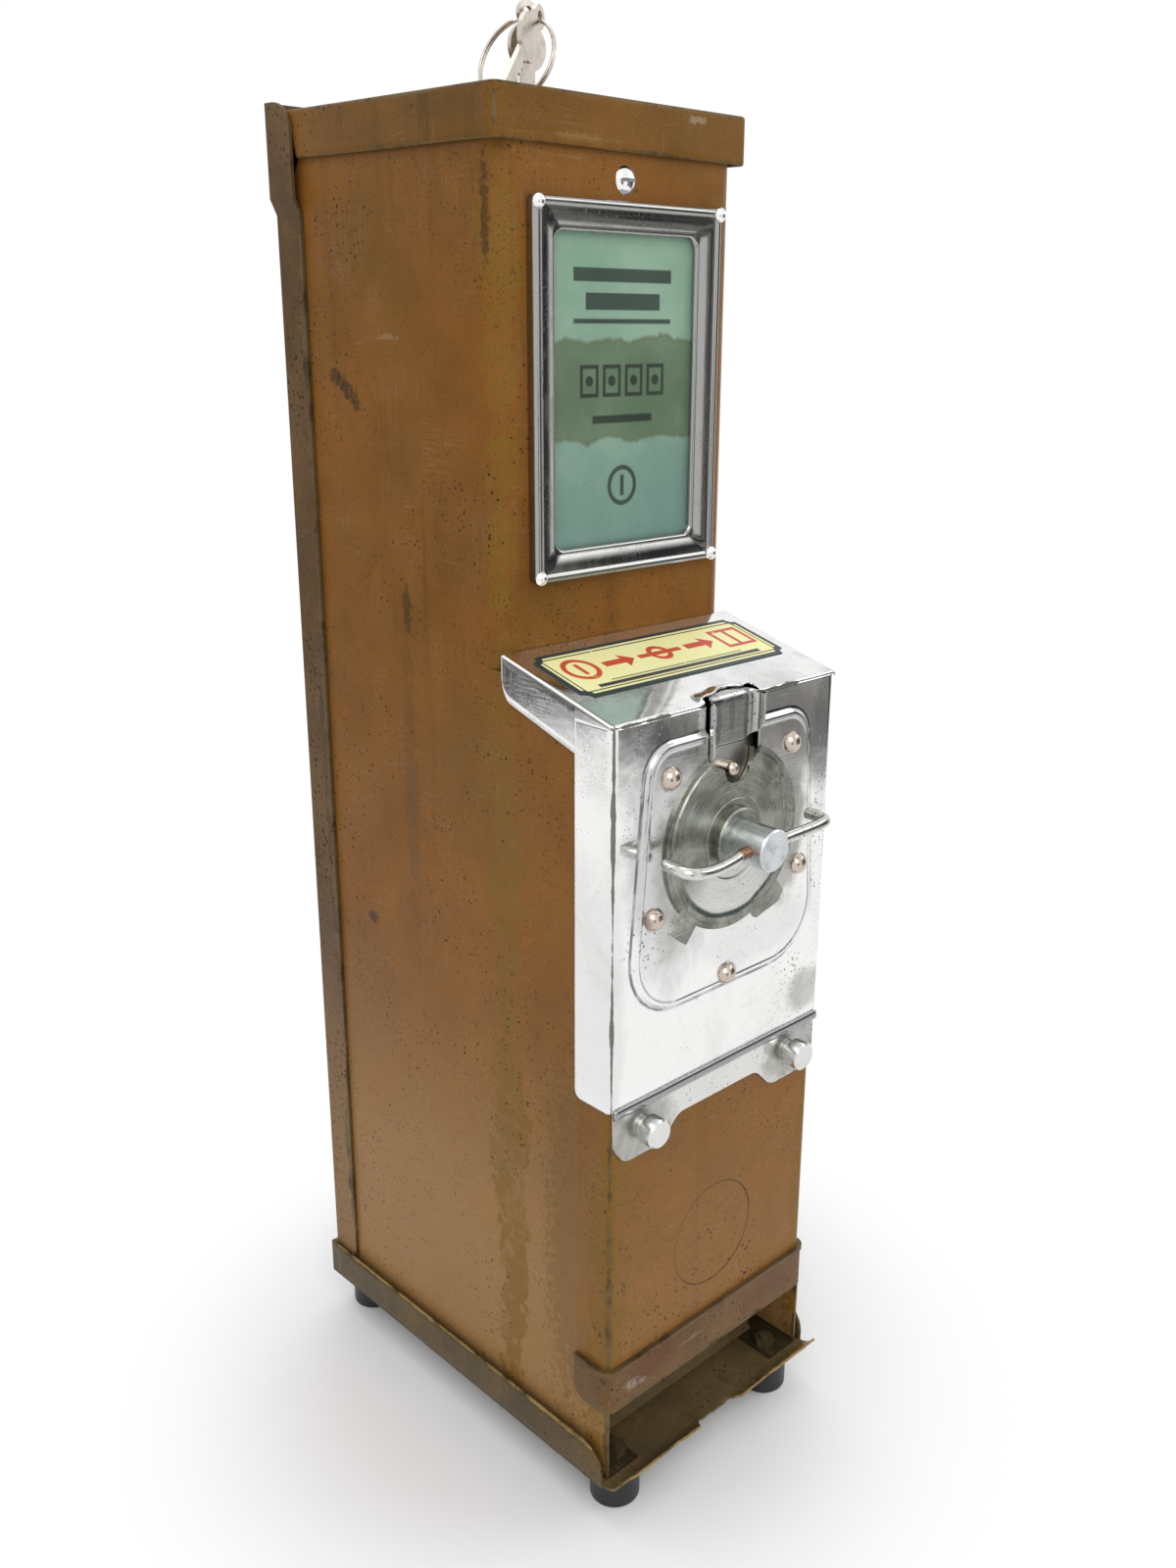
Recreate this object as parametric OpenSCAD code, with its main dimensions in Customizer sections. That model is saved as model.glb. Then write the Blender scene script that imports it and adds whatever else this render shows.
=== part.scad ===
// Coin-operated vending machine for stamp folders: a tall sheet-steel case with a plated hood,
// a turning handle that works a folder ejector, a delivery tray below and a locked lid above.
// Millimetres. X to the right, Y to the rear, Z up. The origin is on the resting plane,
// below the middle of the whole machine.

/* [Case] */
// Outside width of the case
case_w = 101.6; // [90:0.1:125]
// Front of the lower case, measured forward from the origin
front_d = 71.4; // [66:0.1:88]
// Rear edge of the case sides, measured back from the origin
rear_d = 89.3; // [82:0.1:108]
// Distance that the upper front stands behind the lower front
set_back = 49; // [44:0.5:56]
// Top of the case above the resting plane
case_top = 459.5; // [430:0.5:552]
// Case sheet thickness
sheet = 1.0; // [0.8:0.1:1.3]
// Outside radius of the upper front corners
upper_r = 8.5; // [5:0.5:10]
// Outside radius of the lower front corners
lower_r = 3.0; // [2:0.5:4]
// Depth of the lower front panel's side flanges
panel_flange = 15.3; // [12:0.1:18]
// Width of the case's flanges at the rear and the bottom
return_w = 14; // [11:0.5:16]

/* [Hood] */
// Height of the hood's front edge
hood_front_z = 286.9; // [270:0.1:300]
// Rise of the hood from its front edge to the upper front
hood_rise = 12.8; // [8:0.1:18]
// Height of the hood panel's bottom edge
hood_bottom_z = 159.4; // [150:0.1:170]
// Hood sheet thickness
hood_t = 0.9; // [0.7:0.1:1.2]
// Height of the raised pad over the hood panel
pad_rise = 1.3; // [1:0.1:1.8]
// Depth of the hood's sloping side flanges
hood_flange = 14.5; // [10:0.5:18]

/* [Coin mechanism] */
// Height of the handle's axis
axis_z = 241; // [236:0.5:246]
// Diameter of the coin
coin_d = 21.2; // [17.5:0.1:22.6]
// Thickness of the coin
coin_t = 1.95; // [1.3:0.05:2.2]
// Radius of the coin wheel
wheel_r = 29.5; // [28:0.5:31]
// Radius of the dial plate
dial_r = 30.8; // [30:0.1:32]
// Radius of the hub's barrel
hub_r = 6.9; // [6:0.1:8]
// Distance of the hub's face in front of the case
hub_reach = 20.8; // [16:0.1:26]
// Radius of the spindle
spindle_r = 5.0; // [4:0.1:5.5]
// Half the span of the handle bar
handle_half = 34; // [28:0.5:40]
// Length of the handle's turned-back ends
handle_tip = 10; // [6:0.5:12]
// Radius of the handle's wire
wire_r = 2.05; // [1.2:0.05:2.4]

/* [Ejector] */
// Radius at which the crank pin turns
crank_r = 16; // [14:0.5:17]
// Angle that the handle turns through
handle_turn = 90; // [80:1:96]
// Angle that the rocker swings to each side of upright
rocker_swing = 27; // [24:1:30]
// Length of the rocker's driving arms
rocker_len = 44; // [40:0.5:47]
// Height of the magazine bed
bed_z = 178.6; // [174:0.1:181]
// Width of a stamp folder
folder_w = 48; // [40:0.5:48]
// Depth of a stamp folder
folder_d = 52; // [44:0.5:54]
// Thickness of a stamp folder
folder_t = 1.2; // [0.9:0.1:1.6]
// Number of folders stacked above the next one out
folders = 24; // [4:1:60]

/* [Window] */
// Outside width of the window frame
frame_w = 79.9; // [74:0.1:84]
// Outside height of the window frame
frame_h = 112.5; // [100:0.1:118]
// Height of the window's centre
frame_z = 376.4; // [368:0.1:384]
// Width of the frame's moulding
frame_band = 9.8; // [8:0.1:12]
// Height of the frame's moulding
frame_rise = 4.1; // [3:0.1:5]

/* [Lid and lock] */
// Height of the lid's skirt
lid_skirt = 14.8; // [12:0.1:18]
// Gap between the lid's skirt and the case
lid_gap = 1.1; // [0.6:0.1:1.6]
// Distance of the lock behind the origin
lock_y = 23; // [17:0.5:25]
// Radius of the lock barrel
lock_r = 8; // [7:0.1:9]
// Radius of the key's bow
bow_r = 7.3; // [6:0.1:9]
// Radius of the key ring
ring_r = 14.4; // [13.6:0.1:15.4]

/* [Base] */
// Height of the rubber feet
foot_h = 15; // [10:0.5:20]
// Radius of the rubber feet
foot_r = 8.8; // [7:0.1:10]
// Sideways distance of a foot from the middle
foot_x = 40.2; // [36:0.1:42]
// Distance of a foot's middle from the front or the rear of the case
foot_in = 7; // [6:0.1:10]
// Tray sheet thickness
tray_t = 0.9; // [0.7:0.1:1.2]
// Height of the tray's walls over its underside
tray_wall = 14.3; // [10:0.1:18]
// Height of the band's bottom edge, which is the top of the delivery opening
band_z = 44; // [40:0.5:48]
// Height of the band
band_h = 17; // [14:0.5:20]
// Band thickness
band_t = 1.3; // [1:0.1:1.6]

/* [Back plate] */
// Back plate thickness
back_t = 1.1; // [0.8:0.1:1.4]
// Depth of the back plate's side flanges
back_flange = 13.8; // [11:0.1:17]
// Distance that the flanges are set out beside the lid
back_flare = 2.3; // [2:0.1:3]
// Distance that the back plate rises over the case
back_rise = 4.1; // [3:0.1:6]

/* [Hidden] */
$fn = 48;

eps = 0.01;
touch_gap = 0.1;           // between sheets that lie on each other round a bend
fit = 0.05;                // radial clearance of a pin or shaft in its bore
loose = 0.3;               // clearance of a moving piece
half_w = case_w / 2;
inner_w = half_w - sheet;
front_y = -front_d;
upper_y = front_y + set_back;
tray_z = foot_h;
floor_z = tray_z + tray_t;
hood_face = front_y - touch_gap - hood_t;
hood_rear_z = hood_front_z + hood_rise;
hood_slope = atan(hood_rise / (upper_y - hood_face));
pad_face = hood_face - pad_rise;
pad_z0 = axis_z - 51.8;
pad_z1 = axis_z + 36.6;
dial_t = 1.0;
dial_step = 0.6;
dial_face = pad_face - dial_t - dial_step;
collar_t = 2.8;
collar_face = dial_face - collar_t;
hub_face = front_y - hub_reach;
wheel_t = coin_t + 0.15;
web_t = 1.2;
web_y = front_y + 1.1;                     // front face of the mechanism's web
cheek_x = 42;
bore_chute = coin_d + 1.2;                 // inside width of the coin chute
rocker_y = front_y + 43.5;
crank_y = front_y + 14;                    // rear face of the crank arm
input_len = crank_r * sin(handle_turn / 2) / sin(rocker_swing);
peg_r = 2;
nose_r = 3;
peg_gap = (2 * peg_r + 0.8 + 2 * nose_r * (1 - cos(rocker_swing))) / cos(rocker_swing);
arm_x = 36;
arm_t = 2.8;
stack_y0 = upper_y + sheet + 1.8;          // front edge of the stamp folders
stack_y1 = stack_y0 + folder_d;
slide_z = bed_z + 0.1;
slide_t = folder_t - 0.1;
travel = 2 * rocker_len * sin(rocker_swing);
ear_y = rocker_y + rocker_len * sin(rocker_swing);
lid_t = 1.0;
lid_top = case_top + 0.6 + lid_t;
lid_x = half_w + lid_gap + lid_t;
lid_front = upper_y - lid_gap - lid_t;
lid_rear = rear_d - 8.1;
hinge_y = rear_d - 6;
hinge_z = lid_top - 2.5;
hinge_r = 2.2;
hinge_pin_r = 1.0;
plug_r = 5.4;
eye_z = lid_top + 28.5;                    // centre of the key's eye
ring_wire = 0.5;
hang_z = eye_z - 1.9 + ring_wire + 0.2;    // where the ring hangs in the key's eye
ring_lean = acos((hang_z - lid_top - ring_wire - touch_gap) / (2 * ring_r));
ring_turn = 12;
back_in = half_w + loose;
back_y = rear_d + 0.1;
back_top = case_top + back_rise;
tray_in = back_in + back_t + touch_gap;
tray_rear = back_y + back_t + 1.7;
lip_r = 9;
frame_in_w = frame_w - 2 * frame_band;
frame_in_h = frame_h - 2 * frame_band + 1;
plated = [0.78, 0.79, 0.8];
paint = [0.5, 0.34, 0.17];
zinc = [0.62, 0.62, 0.6];

// Extrudes a drawing of Y and Z along X, between two X positions.
module along_x(x0, x1) {
    translate([x0, 0, 0]) rotate([90, 0, 90]) linear_extrude(x1 - x0) children();
}

// Extrudes a drawing of X and Z along Y, between two Y positions.
module along_y(y0, y1) {
    translate([0, y1, 0]) rotate([90, 0, 0]) linear_extrude(y1 - y0) children();
}

// Extrudes a drawing of X and Y upwards, between two heights.
module along_z(z0, z1) {
    translate([0, 0, z0]) linear_extrude(z1 - z0) children();
}

// A rod along X, along Y or along Z.
module rod_x(r, x0, x1) {
    translate([x0, 0, 0]) rotate([0, 90, 0]) cylinder(r = r, h = x1 - x0);
}
module rod_y(r, y0, y1) {
    translate([0, y0, 0]) rotate([-90, 0, 0]) cylinder(r = r, h = y1 - y0);
}
module rod_z(r, z0, z1) {
    translate([0, 0, z0]) cylinder(r = r, h = z1 - z0);
}

// A solid turned about an axis along Y. The profile holds [radius, y] points.
module turned_y(profile) {
    rotate([-90, 0, 0]) rotate_extrude() polygon(profile);
}

// Plan of the case: square at the rear, with both front corners rounded.
module plan(half, y0, y1, r) {
    translate([-half, y0 + r]) square([2 * half, y1 - y0 - r]);
    translate([-half + r, y0]) square([2 * (half - r), r + eps]);
    for (s = [-1, 1]) translate([s * (half - r), y0 + r]) circle(r);
}

// A rectangle about the middle with round corners.
module round_rect(w, h, r) {
    square([w - 2 * r, h], center = true);
    square([w, h - 2 * r], center = true);
    for (i = [-1, 1], j = [-1, 1]) translate([i * (w / 2 - r), j * (h / 2 - r)]) circle(r);
}

// Corner points of an outline, each rounded to its own radius, for convex and hollow corners.
function unit(v) = v / norm(v);
function corner(a, b, c, r, n) =
    let (u = unit(a - b), v = unit(c - b), half = acos(u * v) / 2, m = unit(u + v),
         o = b + m * r / sin(half), turn = (u[0] * v[1] - u[1] * v[0]) > 0 ? 1 : -1,
         first = atan2(b[1] + u[1] * r / tan(half) - o[1], b[0] + u[0] * r / tan(half) - o[0]))
    r == 0 ? [b] : [for (i = [0:n]) let (t = first - turn * (180 - 2 * half) * i / n)
                    o + r * [cos(t), sin(t)]];
function outline(p, r, n = 8) = let (k = len(p))
    [for (i = [0:k - 1]) each corner(p[(i + k - 1) % k], p[i], p[(i + 1) % k], r[i], n)];

// ---------------------------------------------------------------- case

// Side panels, upper front, rear returns and bottom flanges, open at the front below the hood.
module case_shell() {
    side = [[front_y, floor_z], [front_y, band_z], [front_y + panel_flange, band_z],
            [front_y + panel_flange, hood_front_z - 5], [upper_y, hood_rear_z - 4],
            [upper_y, case_top], [lid_rear - 12, case_top], [lid_rear + 1, case_top - 20],
            [rear_d, case_top - 20], [rear_d, floor_z]];
    color(paint) difference() {
        union() {
            difference() {
                along_x(-half_w, half_w) polygon(side);
                along_z(floor_z + sheet, case_top + 1)
                    plan(inner_w, upper_y + sheet, rear_d - sheet, upper_r - sheet);
                along_z(floor_z - 1, hood_rear_z - sheet)
                    translate([-inner_w, front_y - 1]) square([2 * inner_w, set_back + 12]);
                along_z(hood_rear_z - 6, case_top + 1) difference() {
                    translate([-half_w - 1, upper_y - 1]) square([case_w + 2, 20]);
                    plan(half_w, upper_y, rear_d, upper_r);
                }
                along_y(rear_d - sheet - 1, rear_d + 1) translate([-inner_w + return_w, 0])
                    square([2 * (inner_w - return_w), case_top + 1]);
                along_z(floor_z - 1, floor_z + sheet + 1)
                    translate([-inner_w + return_w, front_y - 1])
                        square([2 * (inner_w - return_w), front_d + rear_d + 2]);
            }
            for (s = [-1, 1]) along_z(floor_z, floor_z + sheet)
                translate([s > 0 ? inner_w - return_w : -inner_w - eps, front_y])
                    square([return_w + eps, set_back + 6]);
        }
        foot_holes(2);
        back_holes();
        window_holes();
    }
}

// Lower front panel: a front sheet with side flanges and the mechanism's opening.
module lower_front() {
    color(paint) difference() {
        along_z(band_z, hood_front_z - 6)
            plan(half_w, front_y, front_y + panel_flange, lower_r);
        along_z(band_z - 1, hood_front_z)
            plan(inner_w, front_y + sheet, front_y + panel_flange + 1, lower_r - sheet);
        along_y(front_y - 1, front_y + sheet + 1)
            translate([-cheek_x - web_t - 1.8, hood_bottom_z + 5.6])
                square([2 * (cheek_x + web_t + 1.8), 200]);
        plug_seat(touch_gap);
        for (s = [-1, 1]) at_nut(s) rod_y(stud_r + fit, front_y - 1, front_y + sheet + 1);
    }
}

plug_r1 = 19.3;
plug_z = 91.2;
// Round opening below the mechanism, closed by a soldered disc.
module plug_seat(gap) {
    translate([0, 0, plug_z]) rod_y(plug_r1 + gap, front_y - 1, front_y + sheet + 1);
}
module front_plug() {
    color(paint) translate([0, 0, plug_z]) {
        rod_y(plug_r1, front_y + 0.1, front_y + sheet);
        rod_y(plug_r1 + 4, front_y + sheet, front_y + 2 * sheet);
    }
}

// Band round the bottom of the front, with rounded lower ends and a rolled top edge.
module front_band() {
    end_y = front_y + panel_flange;
    color([0.36, 0.25, 0.22]) difference() {
        union() {
            along_z(band_z, band_z + band_h)
                plan(half_w + touch_gap + band_t, front_y - touch_gap - band_t, end_y,
                     lower_r + band_t);
            along_z(band_z + band_h - 1.6, band_z + band_h)
                plan(half_w + touch_gap + band_t + 0.5, front_y - touch_gap - band_t - 0.5, end_y,
                     lower_r + band_t + 0.5);
        }
        along_z(band_z - 1, band_z + band_h + 1)
            plan(half_w + touch_gap, front_y - touch_gap, end_y + 1, lower_r);
        along_x(-half_w - 5, half_w + 5) difference() {
            translate([end_y - 5, band_z - 1]) square(6);
            translate([end_y - 5, band_z + 5]) circle(5);
        }
    }
}

// ---------------------------------------------------------------- base

// Foot positions, and the holes for the foot screws from the tray up to a height.
module at_feet() {
    for (i = [-1, 1], y = [front_y + foot_in, rear_d - foot_in])
        translate([i * foot_x, y, 0]) children();
}
screw_r = 2;
module foot_holes(above) {
    at_feet() rod_z(screw_r + 0.2, tray_z - 1, floor_z + sheet + above);
}

// Tray pan: floor, side and rear walls, and a rolled front lip with a torn notch.
module base_tray() {
    lip_y = front_y - 0.5;
    wall_r = 10.4;
    wall_top = tray_z + tray_wall;
    outer = tray_in + tray_t;
    color([0.47, 0.35, 0.18]) difference() {
        union() {
            along_z(tray_z, floor_z) translate([-outer, lip_y])
                square([2 * outer, tray_rear - lip_y]);
            for (s = [-1, 1]) along_x(s > 0 ? tray_in : -outer, s > 0 ? outer : -tray_in)
                polygon(outline([[lip_y, tray_z], [tray_rear, tray_z], [tray_rear, wall_top],
                                 [lip_y, wall_top]], [0, 0, 0, wall_r]));
            along_y(tray_rear - tray_t, tray_rear) translate([-outer, tray_z])
                square([2 * outer, tray_wall]);
            along_x(-outer, outer) translate([lip_y + eps, tray_z + lip_r])
                polygon(concat([for (a = [0:7.5:60]) arc_at(lip_r, -90 - a)],
                               [for (a = [60:-7.5:0]) arc_at(lip_r - tray_t, -90 - a)]));
        }
        foot_holes(0);
        along_z(tray_z - 1, tray_z + lip_r) polygon(torn_edge(lip_y - 3, lip_y - lip_r - 1));
    }
}
// Outline of the torn notch in the lip, from its depth to beyond the lip's edge.
function torn_edge(y0, y1) = [[-13, y1], [-11, y0 - 1.2], [-6.5, y0], [-1, y0 + 0.8],
                              [4, y0 - 0.3], [7.5, y0 - 2.4], [12, y0 - 3.6], [15, y1]];

module rubber_feet() {
    color([0.08, 0.08, 0.09]) at_feet() difference() {
        rotate_extrude() polygon(outline([[0, 0], [foot_r, 0], [foot_r, tray_z], [0, tray_z]],
                                         [0, 1, 0, 0]));
        rod_z(4.6, -1, foot_h * 0.4);
        rod_z(screw_r + 0.2, 0, foot_h + 1);
    }
}

// Screw up through each foot, the tray and the case flange, with a nut on top.
module foot_screws() {
    top = floor_z + sheet;
    color(zinc) at_feet() {
        rod_z(screw_r, foot_h * 0.4 - 1, top + 4);
        rod_z(4, foot_h * 0.4 - 2.4, foot_h * 0.4);
        difference() {
            translate([0, 0, top]) cylinder(r = 4, h = 3, $fn = 6);
            rod_z(screw_r - 0.2, top - 1, top + 4);
        }
    }
}

// ---------------------------------------------------------------- back plate

// Channel behind the case. Its flanges are set out beside the lid, with round top corners.
module back_plate() {
    jog = case_top - 30;
    edge = back_in + back_t;
    corner_r = 9.5;
    shape = [[back_in, floor_z], [back_in, jog], [back_in + back_flare, jog + 5],
             [back_in + back_flare, back_top], [edge + back_flare, back_top],
             [edge + back_flare, jog + 5], [edge, jog], [edge, floor_z]];
    full = outline([[-edge, floor_z], [edge, floor_z], [edge, jog],
                    [edge + back_flare, jog + 5], [edge + back_flare, back_top],
                    [-edge - back_flare, back_top], [-edge - back_flare, jog + 5],
                    [-edge, jog]], [0, 0, 0, 0, 4, 4, 0, 0]);
    color([0.34, 0.27, 0.2]) difference() {
        union() {
            along_y(back_y, back_y + back_t) polygon(full);
            for (s = [-1, 1]) intersection() {
                along_y(back_y + back_t - back_flange, back_y + back_t)
                    scale([s, 1]) polygon(shape);
                along_x(-edge - 5, edge + 5) {
                    translate([back_y + back_t - back_flange, 0])
                        square([back_flange, back_top - corner_r]);
                    translate([back_y + back_t - back_flange + corner_r, 0])
                        square([back_flange - corner_r, back_top]);
                    translate([back_y + back_t - back_flange + corner_r, back_top - corner_r])
                        circle(corner_r);
                }
            }
        }
        back_holes();
    }
}

// Screws that hold the back plate to the case's rear returns.
back_screw_x = half_w - 7.3;
back_levels = [60, 250, case_top - 34];
module at_back_screws() {
    for (s = [-1, 1], z = back_levels) translate([s * back_screw_x, 0, z]) children();
}
module back_holes() {
    at_back_screws() rod_y(1.7, rear_d - 3, back_y + back_t + 1);
}
module back_screws() {
    color(zinc) at_back_screws() {
        rod_y(1.5, rear_d - sheet - 3, back_y + back_t + 1);
        difference() {
            turned_y(outline([[0, back_y + back_t], [3.2, back_y + back_t],
                              [3.2, back_y + back_t + 1.6], [0, back_y + back_t + 1.6]],
                             [0, 0, 1, 0]));
            translate([-4, back_y + back_t + 1, -0.4]) cube([8, 2, 0.8]);
        }
        rotate([90, 0, 0]) translate([0, 0, -rear_d + sheet]) cylinder(r = 3, h = 2.2, $fn = 6);
    }
}

// ---------------------------------------------------------------- lid, hinge and lock

// Cap with a front skirt and side skirts, whose rear edges slant forward.
module lid() {
    skirt_z = lid_top - lid_skirt;
    side = [[lid_front, skirt_z], [lid_front, lid_top], [lid_rear, lid_top],
            [lid_rear - 5.7, skirt_z]];
    color(paint) difference() {
        intersection() {
            along_x(-lid_x, lid_x) polygon(side);
            along_z(skirt_z, lid_top) plan(lid_x, lid_front, lid_rear, 3);
        }
        along_z(skirt_z - 1, lid_top - lid_t)
            plan(lid_x - lid_t, lid_front + lid_t, lid_rear + 1, 2);
        translate([0, lock_y, 0]) rod_z(lock_r + fit, lid_top - 3, lid_top + 1);
    }
}

// Knuckles of the lid's hinge. The rail has every second one, and the leaf has the others.
knuckles = 5;
knuckle_w = (2 * inner_w - 8) / knuckles;
module hinge_knuckles(first) {
    for (i = [first:2:knuckles - 1])
        translate([-inner_w + 4 + i * knuckle_w, hinge_y, hinge_z])
            rod_x(hinge_r, 0.15, knuckle_w - 0.15);
}
module hinge_bore() {
    translate([0, hinge_y, hinge_z]) rod_x(hinge_pin_r + fit, -half_w, half_w);
}

// Moving leaf, fixed under the lid's rear edge.
module lid_leaf() {
    color(zinc) difference() {
        union() {
            hinge_knuckles(1);
            for (i = [1:2:knuckles - 1])
                translate([-inner_w + 4 + i * knuckle_w + 0.15, lid_rear - 14,
                           lid_top - lid_t - 0.9])
                    cube([knuckle_w - 0.3, hinge_y - lid_rear + 14, 0.9]);
            translate([-inner_w + 4, lid_rear - 14, lid_top - lid_t - 0.9])
                cube([2 * inner_w - 8, 13, 0.9]);
        }
        hinge_bore();
    }
}

// Fixed rail: an angle on the back plate that carries the other knuckles.
module hinge_rail() {
    color(zinc) difference() {
        union() {
            hinge_knuckles(0);
            for (i = [0:2:knuckles - 1])
                translate([-inner_w + 4 + i * knuckle_w + 0.15, hinge_y, hinge_z - 1.6])
                    cube([knuckle_w - 0.3, rear_d - hinge_y, 1]);
            translate([-inner_w + 4, rear_d - sheet + 0.1, hinge_z - 16])
                cube([2 * inner_w - 8, sheet, 15.4]);
        }
        hinge_bore();
    }
}
module hinge_pin() {
    color(zinc) translate([0, hinge_y, hinge_z])
        rod_x(hinge_pin_r, -inner_w + 3.5, inner_w - 3.5);
}

// Lock barrel in the lid, with its nut.
module lock_body() {
    color(plated) translate([0, lock_y, 0]) difference() {
        union() {
            rod_z(lock_r, lid_top - 17, lid_top + 1);
            rotate_extrude() polygon(outline([[0, lid_top], [lock_r + 1.5, lid_top],
                                              [lock_r + 1.5, lid_top + 2.2],
                                              [0, lid_top + 2.2]], [0, 0, 1, 0]));
            translate([0, 0, lid_top - lid_t - 3]) cylinder(r = lock_r + 3, h = 3, $fn = 6);
        }
        rod_z(plug_r + fit, lid_top - 18, lid_top + 3);
    }
}

// Turning plug with the key's slot.
key_w = 5.3;
key_t = 1.6;
module lock_plug() {
    color([0.74, 0.66, 0.42]) translate([0, lock_y, 0]) difference() {
        union() {
            rod_z(plug_r, lid_top - 17.2, lid_top + 2.6);
            translate([-2.2, -2.2, lid_top - 20.4]) cube([4.4, 4.4, 4]);
        }
        translate([-key_w / 2 - 0.1, -key_t / 2 - 0.1, lid_top - 14])
            cube([key_w + 0.2, key_t + 0.2, 20]);
    }
}

// Cam on the plug's square end. It swings back under the keeper to lock the lid.
cam_len = 21;
module lock_cam() {
    color(zinc) translate([0, lock_y, 0]) difference() {
        along_z(lid_top - 20, lid_top - 17.6) {
            circle(6.5);
            translate([0, -5]) square([cam_len - 5, 10]);
            translate([cam_len - 5, 0]) circle(5);
        }
        translate([-2.25, -2.25, lid_top - 22]) cube([4.5, 4.5, 6]);
    }
}

// Cross rail behind the magazine, whose lip holds the cam down.
module lock_keeper() {
    z = lid_top - 17.2;
    y = lock_y + 11.5;
    color(zinc) difference() {
        along_x(-inner_w, inner_w)
            polygon([[y, z], [y, z + 1.2], [y + 11, z + 1.2], [y + 11, z - 9],
                     [y + 9.8, z - 9], [y + 9.8, z]]);
    }
}

// Flat key: a blade, a round bow and an eye on top. The blade points down.
module flat_key(blade) {
    eye_r = 3.7;
    bow = -eye_r - bow_r + 1.2;
    cuts = [for (i = [0:3]) [key_w / 2 - 0.6 - 0.5 * (i % 2), -blade - 10 + 3 * i]];
    along_y(-key_t / 2, key_t / 2) difference() {
        union() {
            circle(eye_r);
            translate([0, bow]) circle(bow_r);
            translate([-key_w / 2, bow - bow_r - blade])
                square([key_w, blade + 2]);
        }
        circle(1.9);
        for (c = cuts) translate([c[0], c[1]]) square([2, 1.6]);
    }
}
module key() {
    color([0.72, 0.66, 0.58]) translate([0, lock_y, eye_z]) flat_key(blade = 22);
}

// Wire ring through the key's eye. It leans to the left and front, with its lowest point
// on the lid.
module lean_ring() {
    translate([0, lock_y, hang_z]) rotate([0, 0, ring_turn]) rotate([0, ring_lean, 0])
        translate([0, 0, -ring_r]) children();
}
module key_ring() {
    color(plated) lean_ring() rotate([0, 90, 0]) rotate_extrude() translate([ring_r, 0])
        circle(ring_wire, $fn = 16);
}

// Spare key on the ring in front of the first. Its blade rests on the lid.
spare_at = 18;
spare_out = ring_r * sin(spare_at);
spare_drop = ring_r * (1 - cos(spare_at));
spare_lean = 46.7;
spare_turn = 26;
module spare_key() {
    color([0.72, 0.66, 0.58]) translate([0, lock_y, hang_z]) rotate([0, 0, ring_turn])
        translate([-spare_drop * sin(ring_lean), -spare_out, -spare_drop * cos(ring_lean)])
            rotate([0, 0, spare_turn - ring_turn]) rotate([0, spare_lean, 0])
                translate([0, 0, 0.2]) flat_key(blade = 19);
}

// ---------------------------------------------------------------- hood panel and dial

// One plated sheet: front with a raised pad, sloping hood, and flanges round both sides.
hood_in = half_w + touch_gap;
hood_out = hood_in + hood_t;
function slope_z(y, down) = hood_front_z + (y - hood_face) * tan(hood_slope)
    - down / cos(hood_slope);
module hood_panel() {
    rear = upper_y - touch_gap;
    flange_y = front_y + panel_flange - 0.2;
    side = outline([[hood_face, hood_bottom_z + 2], [flange_y, hood_bottom_z + 0.6],
                    [flange_y, slope_z(flange_y, hood_flange + 0.6)],
                    [rear - 4, slope_z(rear, hood_flange)],
                    [rear, slope_z(rear, hood_flange - 6)], [rear, slope_z(rear, 0)],
                    [hood_face, hood_front_z]], [0, 3, 2, 3, 0, 0, 0.8]);
    hollow = [[hood_face + hood_t, hood_bottom_z - 1], [rear + 1, hood_bottom_z - 1],
              [rear + 1, slope_z(rear + 1, hood_t)],
              [hood_face + hood_t, slope_z(hood_face + hood_t, hood_t)]];
    pad = [[-44.6, pad_z0], [44.6, pad_z0], [37.2, pad_z1], [-37.2, pad_z1]];
    pad_in = [[-43.4, pad_z0 + hood_t], [43.4, pad_z0 + hood_t],
              [36.2, pad_z1 - hood_t], [-36.2, pad_z1 - hood_t]];
    pad_corners = [20, 20, 11, 11];
    hem = outline([[hood_face - 1.6, hood_bottom_z - 1.9], [hood_face - 0.2, hood_bottom_z - 1.9],
                   [hood_face - 0.2, hood_bottom_z + 1.5], [hood_face + hood_t, hood_bottom_z + 2],
                   [hood_face + hood_t, hood_bottom_z + 4], [hood_face, hood_bottom_z + 4],
                   [hood_face - 1.6, hood_bottom_z + 2.3]], [0.6, 0.4, 0, 0, 0, 0, 0.7], 4);
    color(plated) difference() {
        union() {
            difference() {
                intersection() {
                    along_x(-hood_out, hood_out) polygon(side);
                    along_z(hood_bottom_z, hood_rear_z + 1)
                        plan(hood_out, hood_face, rear + 1, lower_r + 1);
                }
                intersection() {
                    along_x(-hood_in, hood_in) polygon(hollow);
                    along_z(hood_bottom_z - 2, hood_rear_z + 1)
                        plan(hood_in, hood_face + hood_t, rear + 2, lower_r);
                }
            }
            along_x(-hood_in + 1.4, hood_in - 1.4) polygon(hem);
            along_y(pad_face, hood_face + eps) polygon(outline(pad, pad_corners));
        }
        along_y(pad_face + hood_t, hood_face + hood_t + 1) polygon(outline(pad_in, pad_corners));
        along_y(pad_face - 1, hood_face + hood_t + 2) polygon(chute_slot());
        along_z(hood_front_z - 2, hood_rear_z) polygon(torn_lip());
        translate([0, 0, axis_z]) rod_y(hub_r + 0.4, pad_face - 1, pad_face + hood_t + 1);
        at_rivets() rod_y(rivet_r + fit, pad_face - 1, pad_face + hood_t + 2);
    }
}
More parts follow.
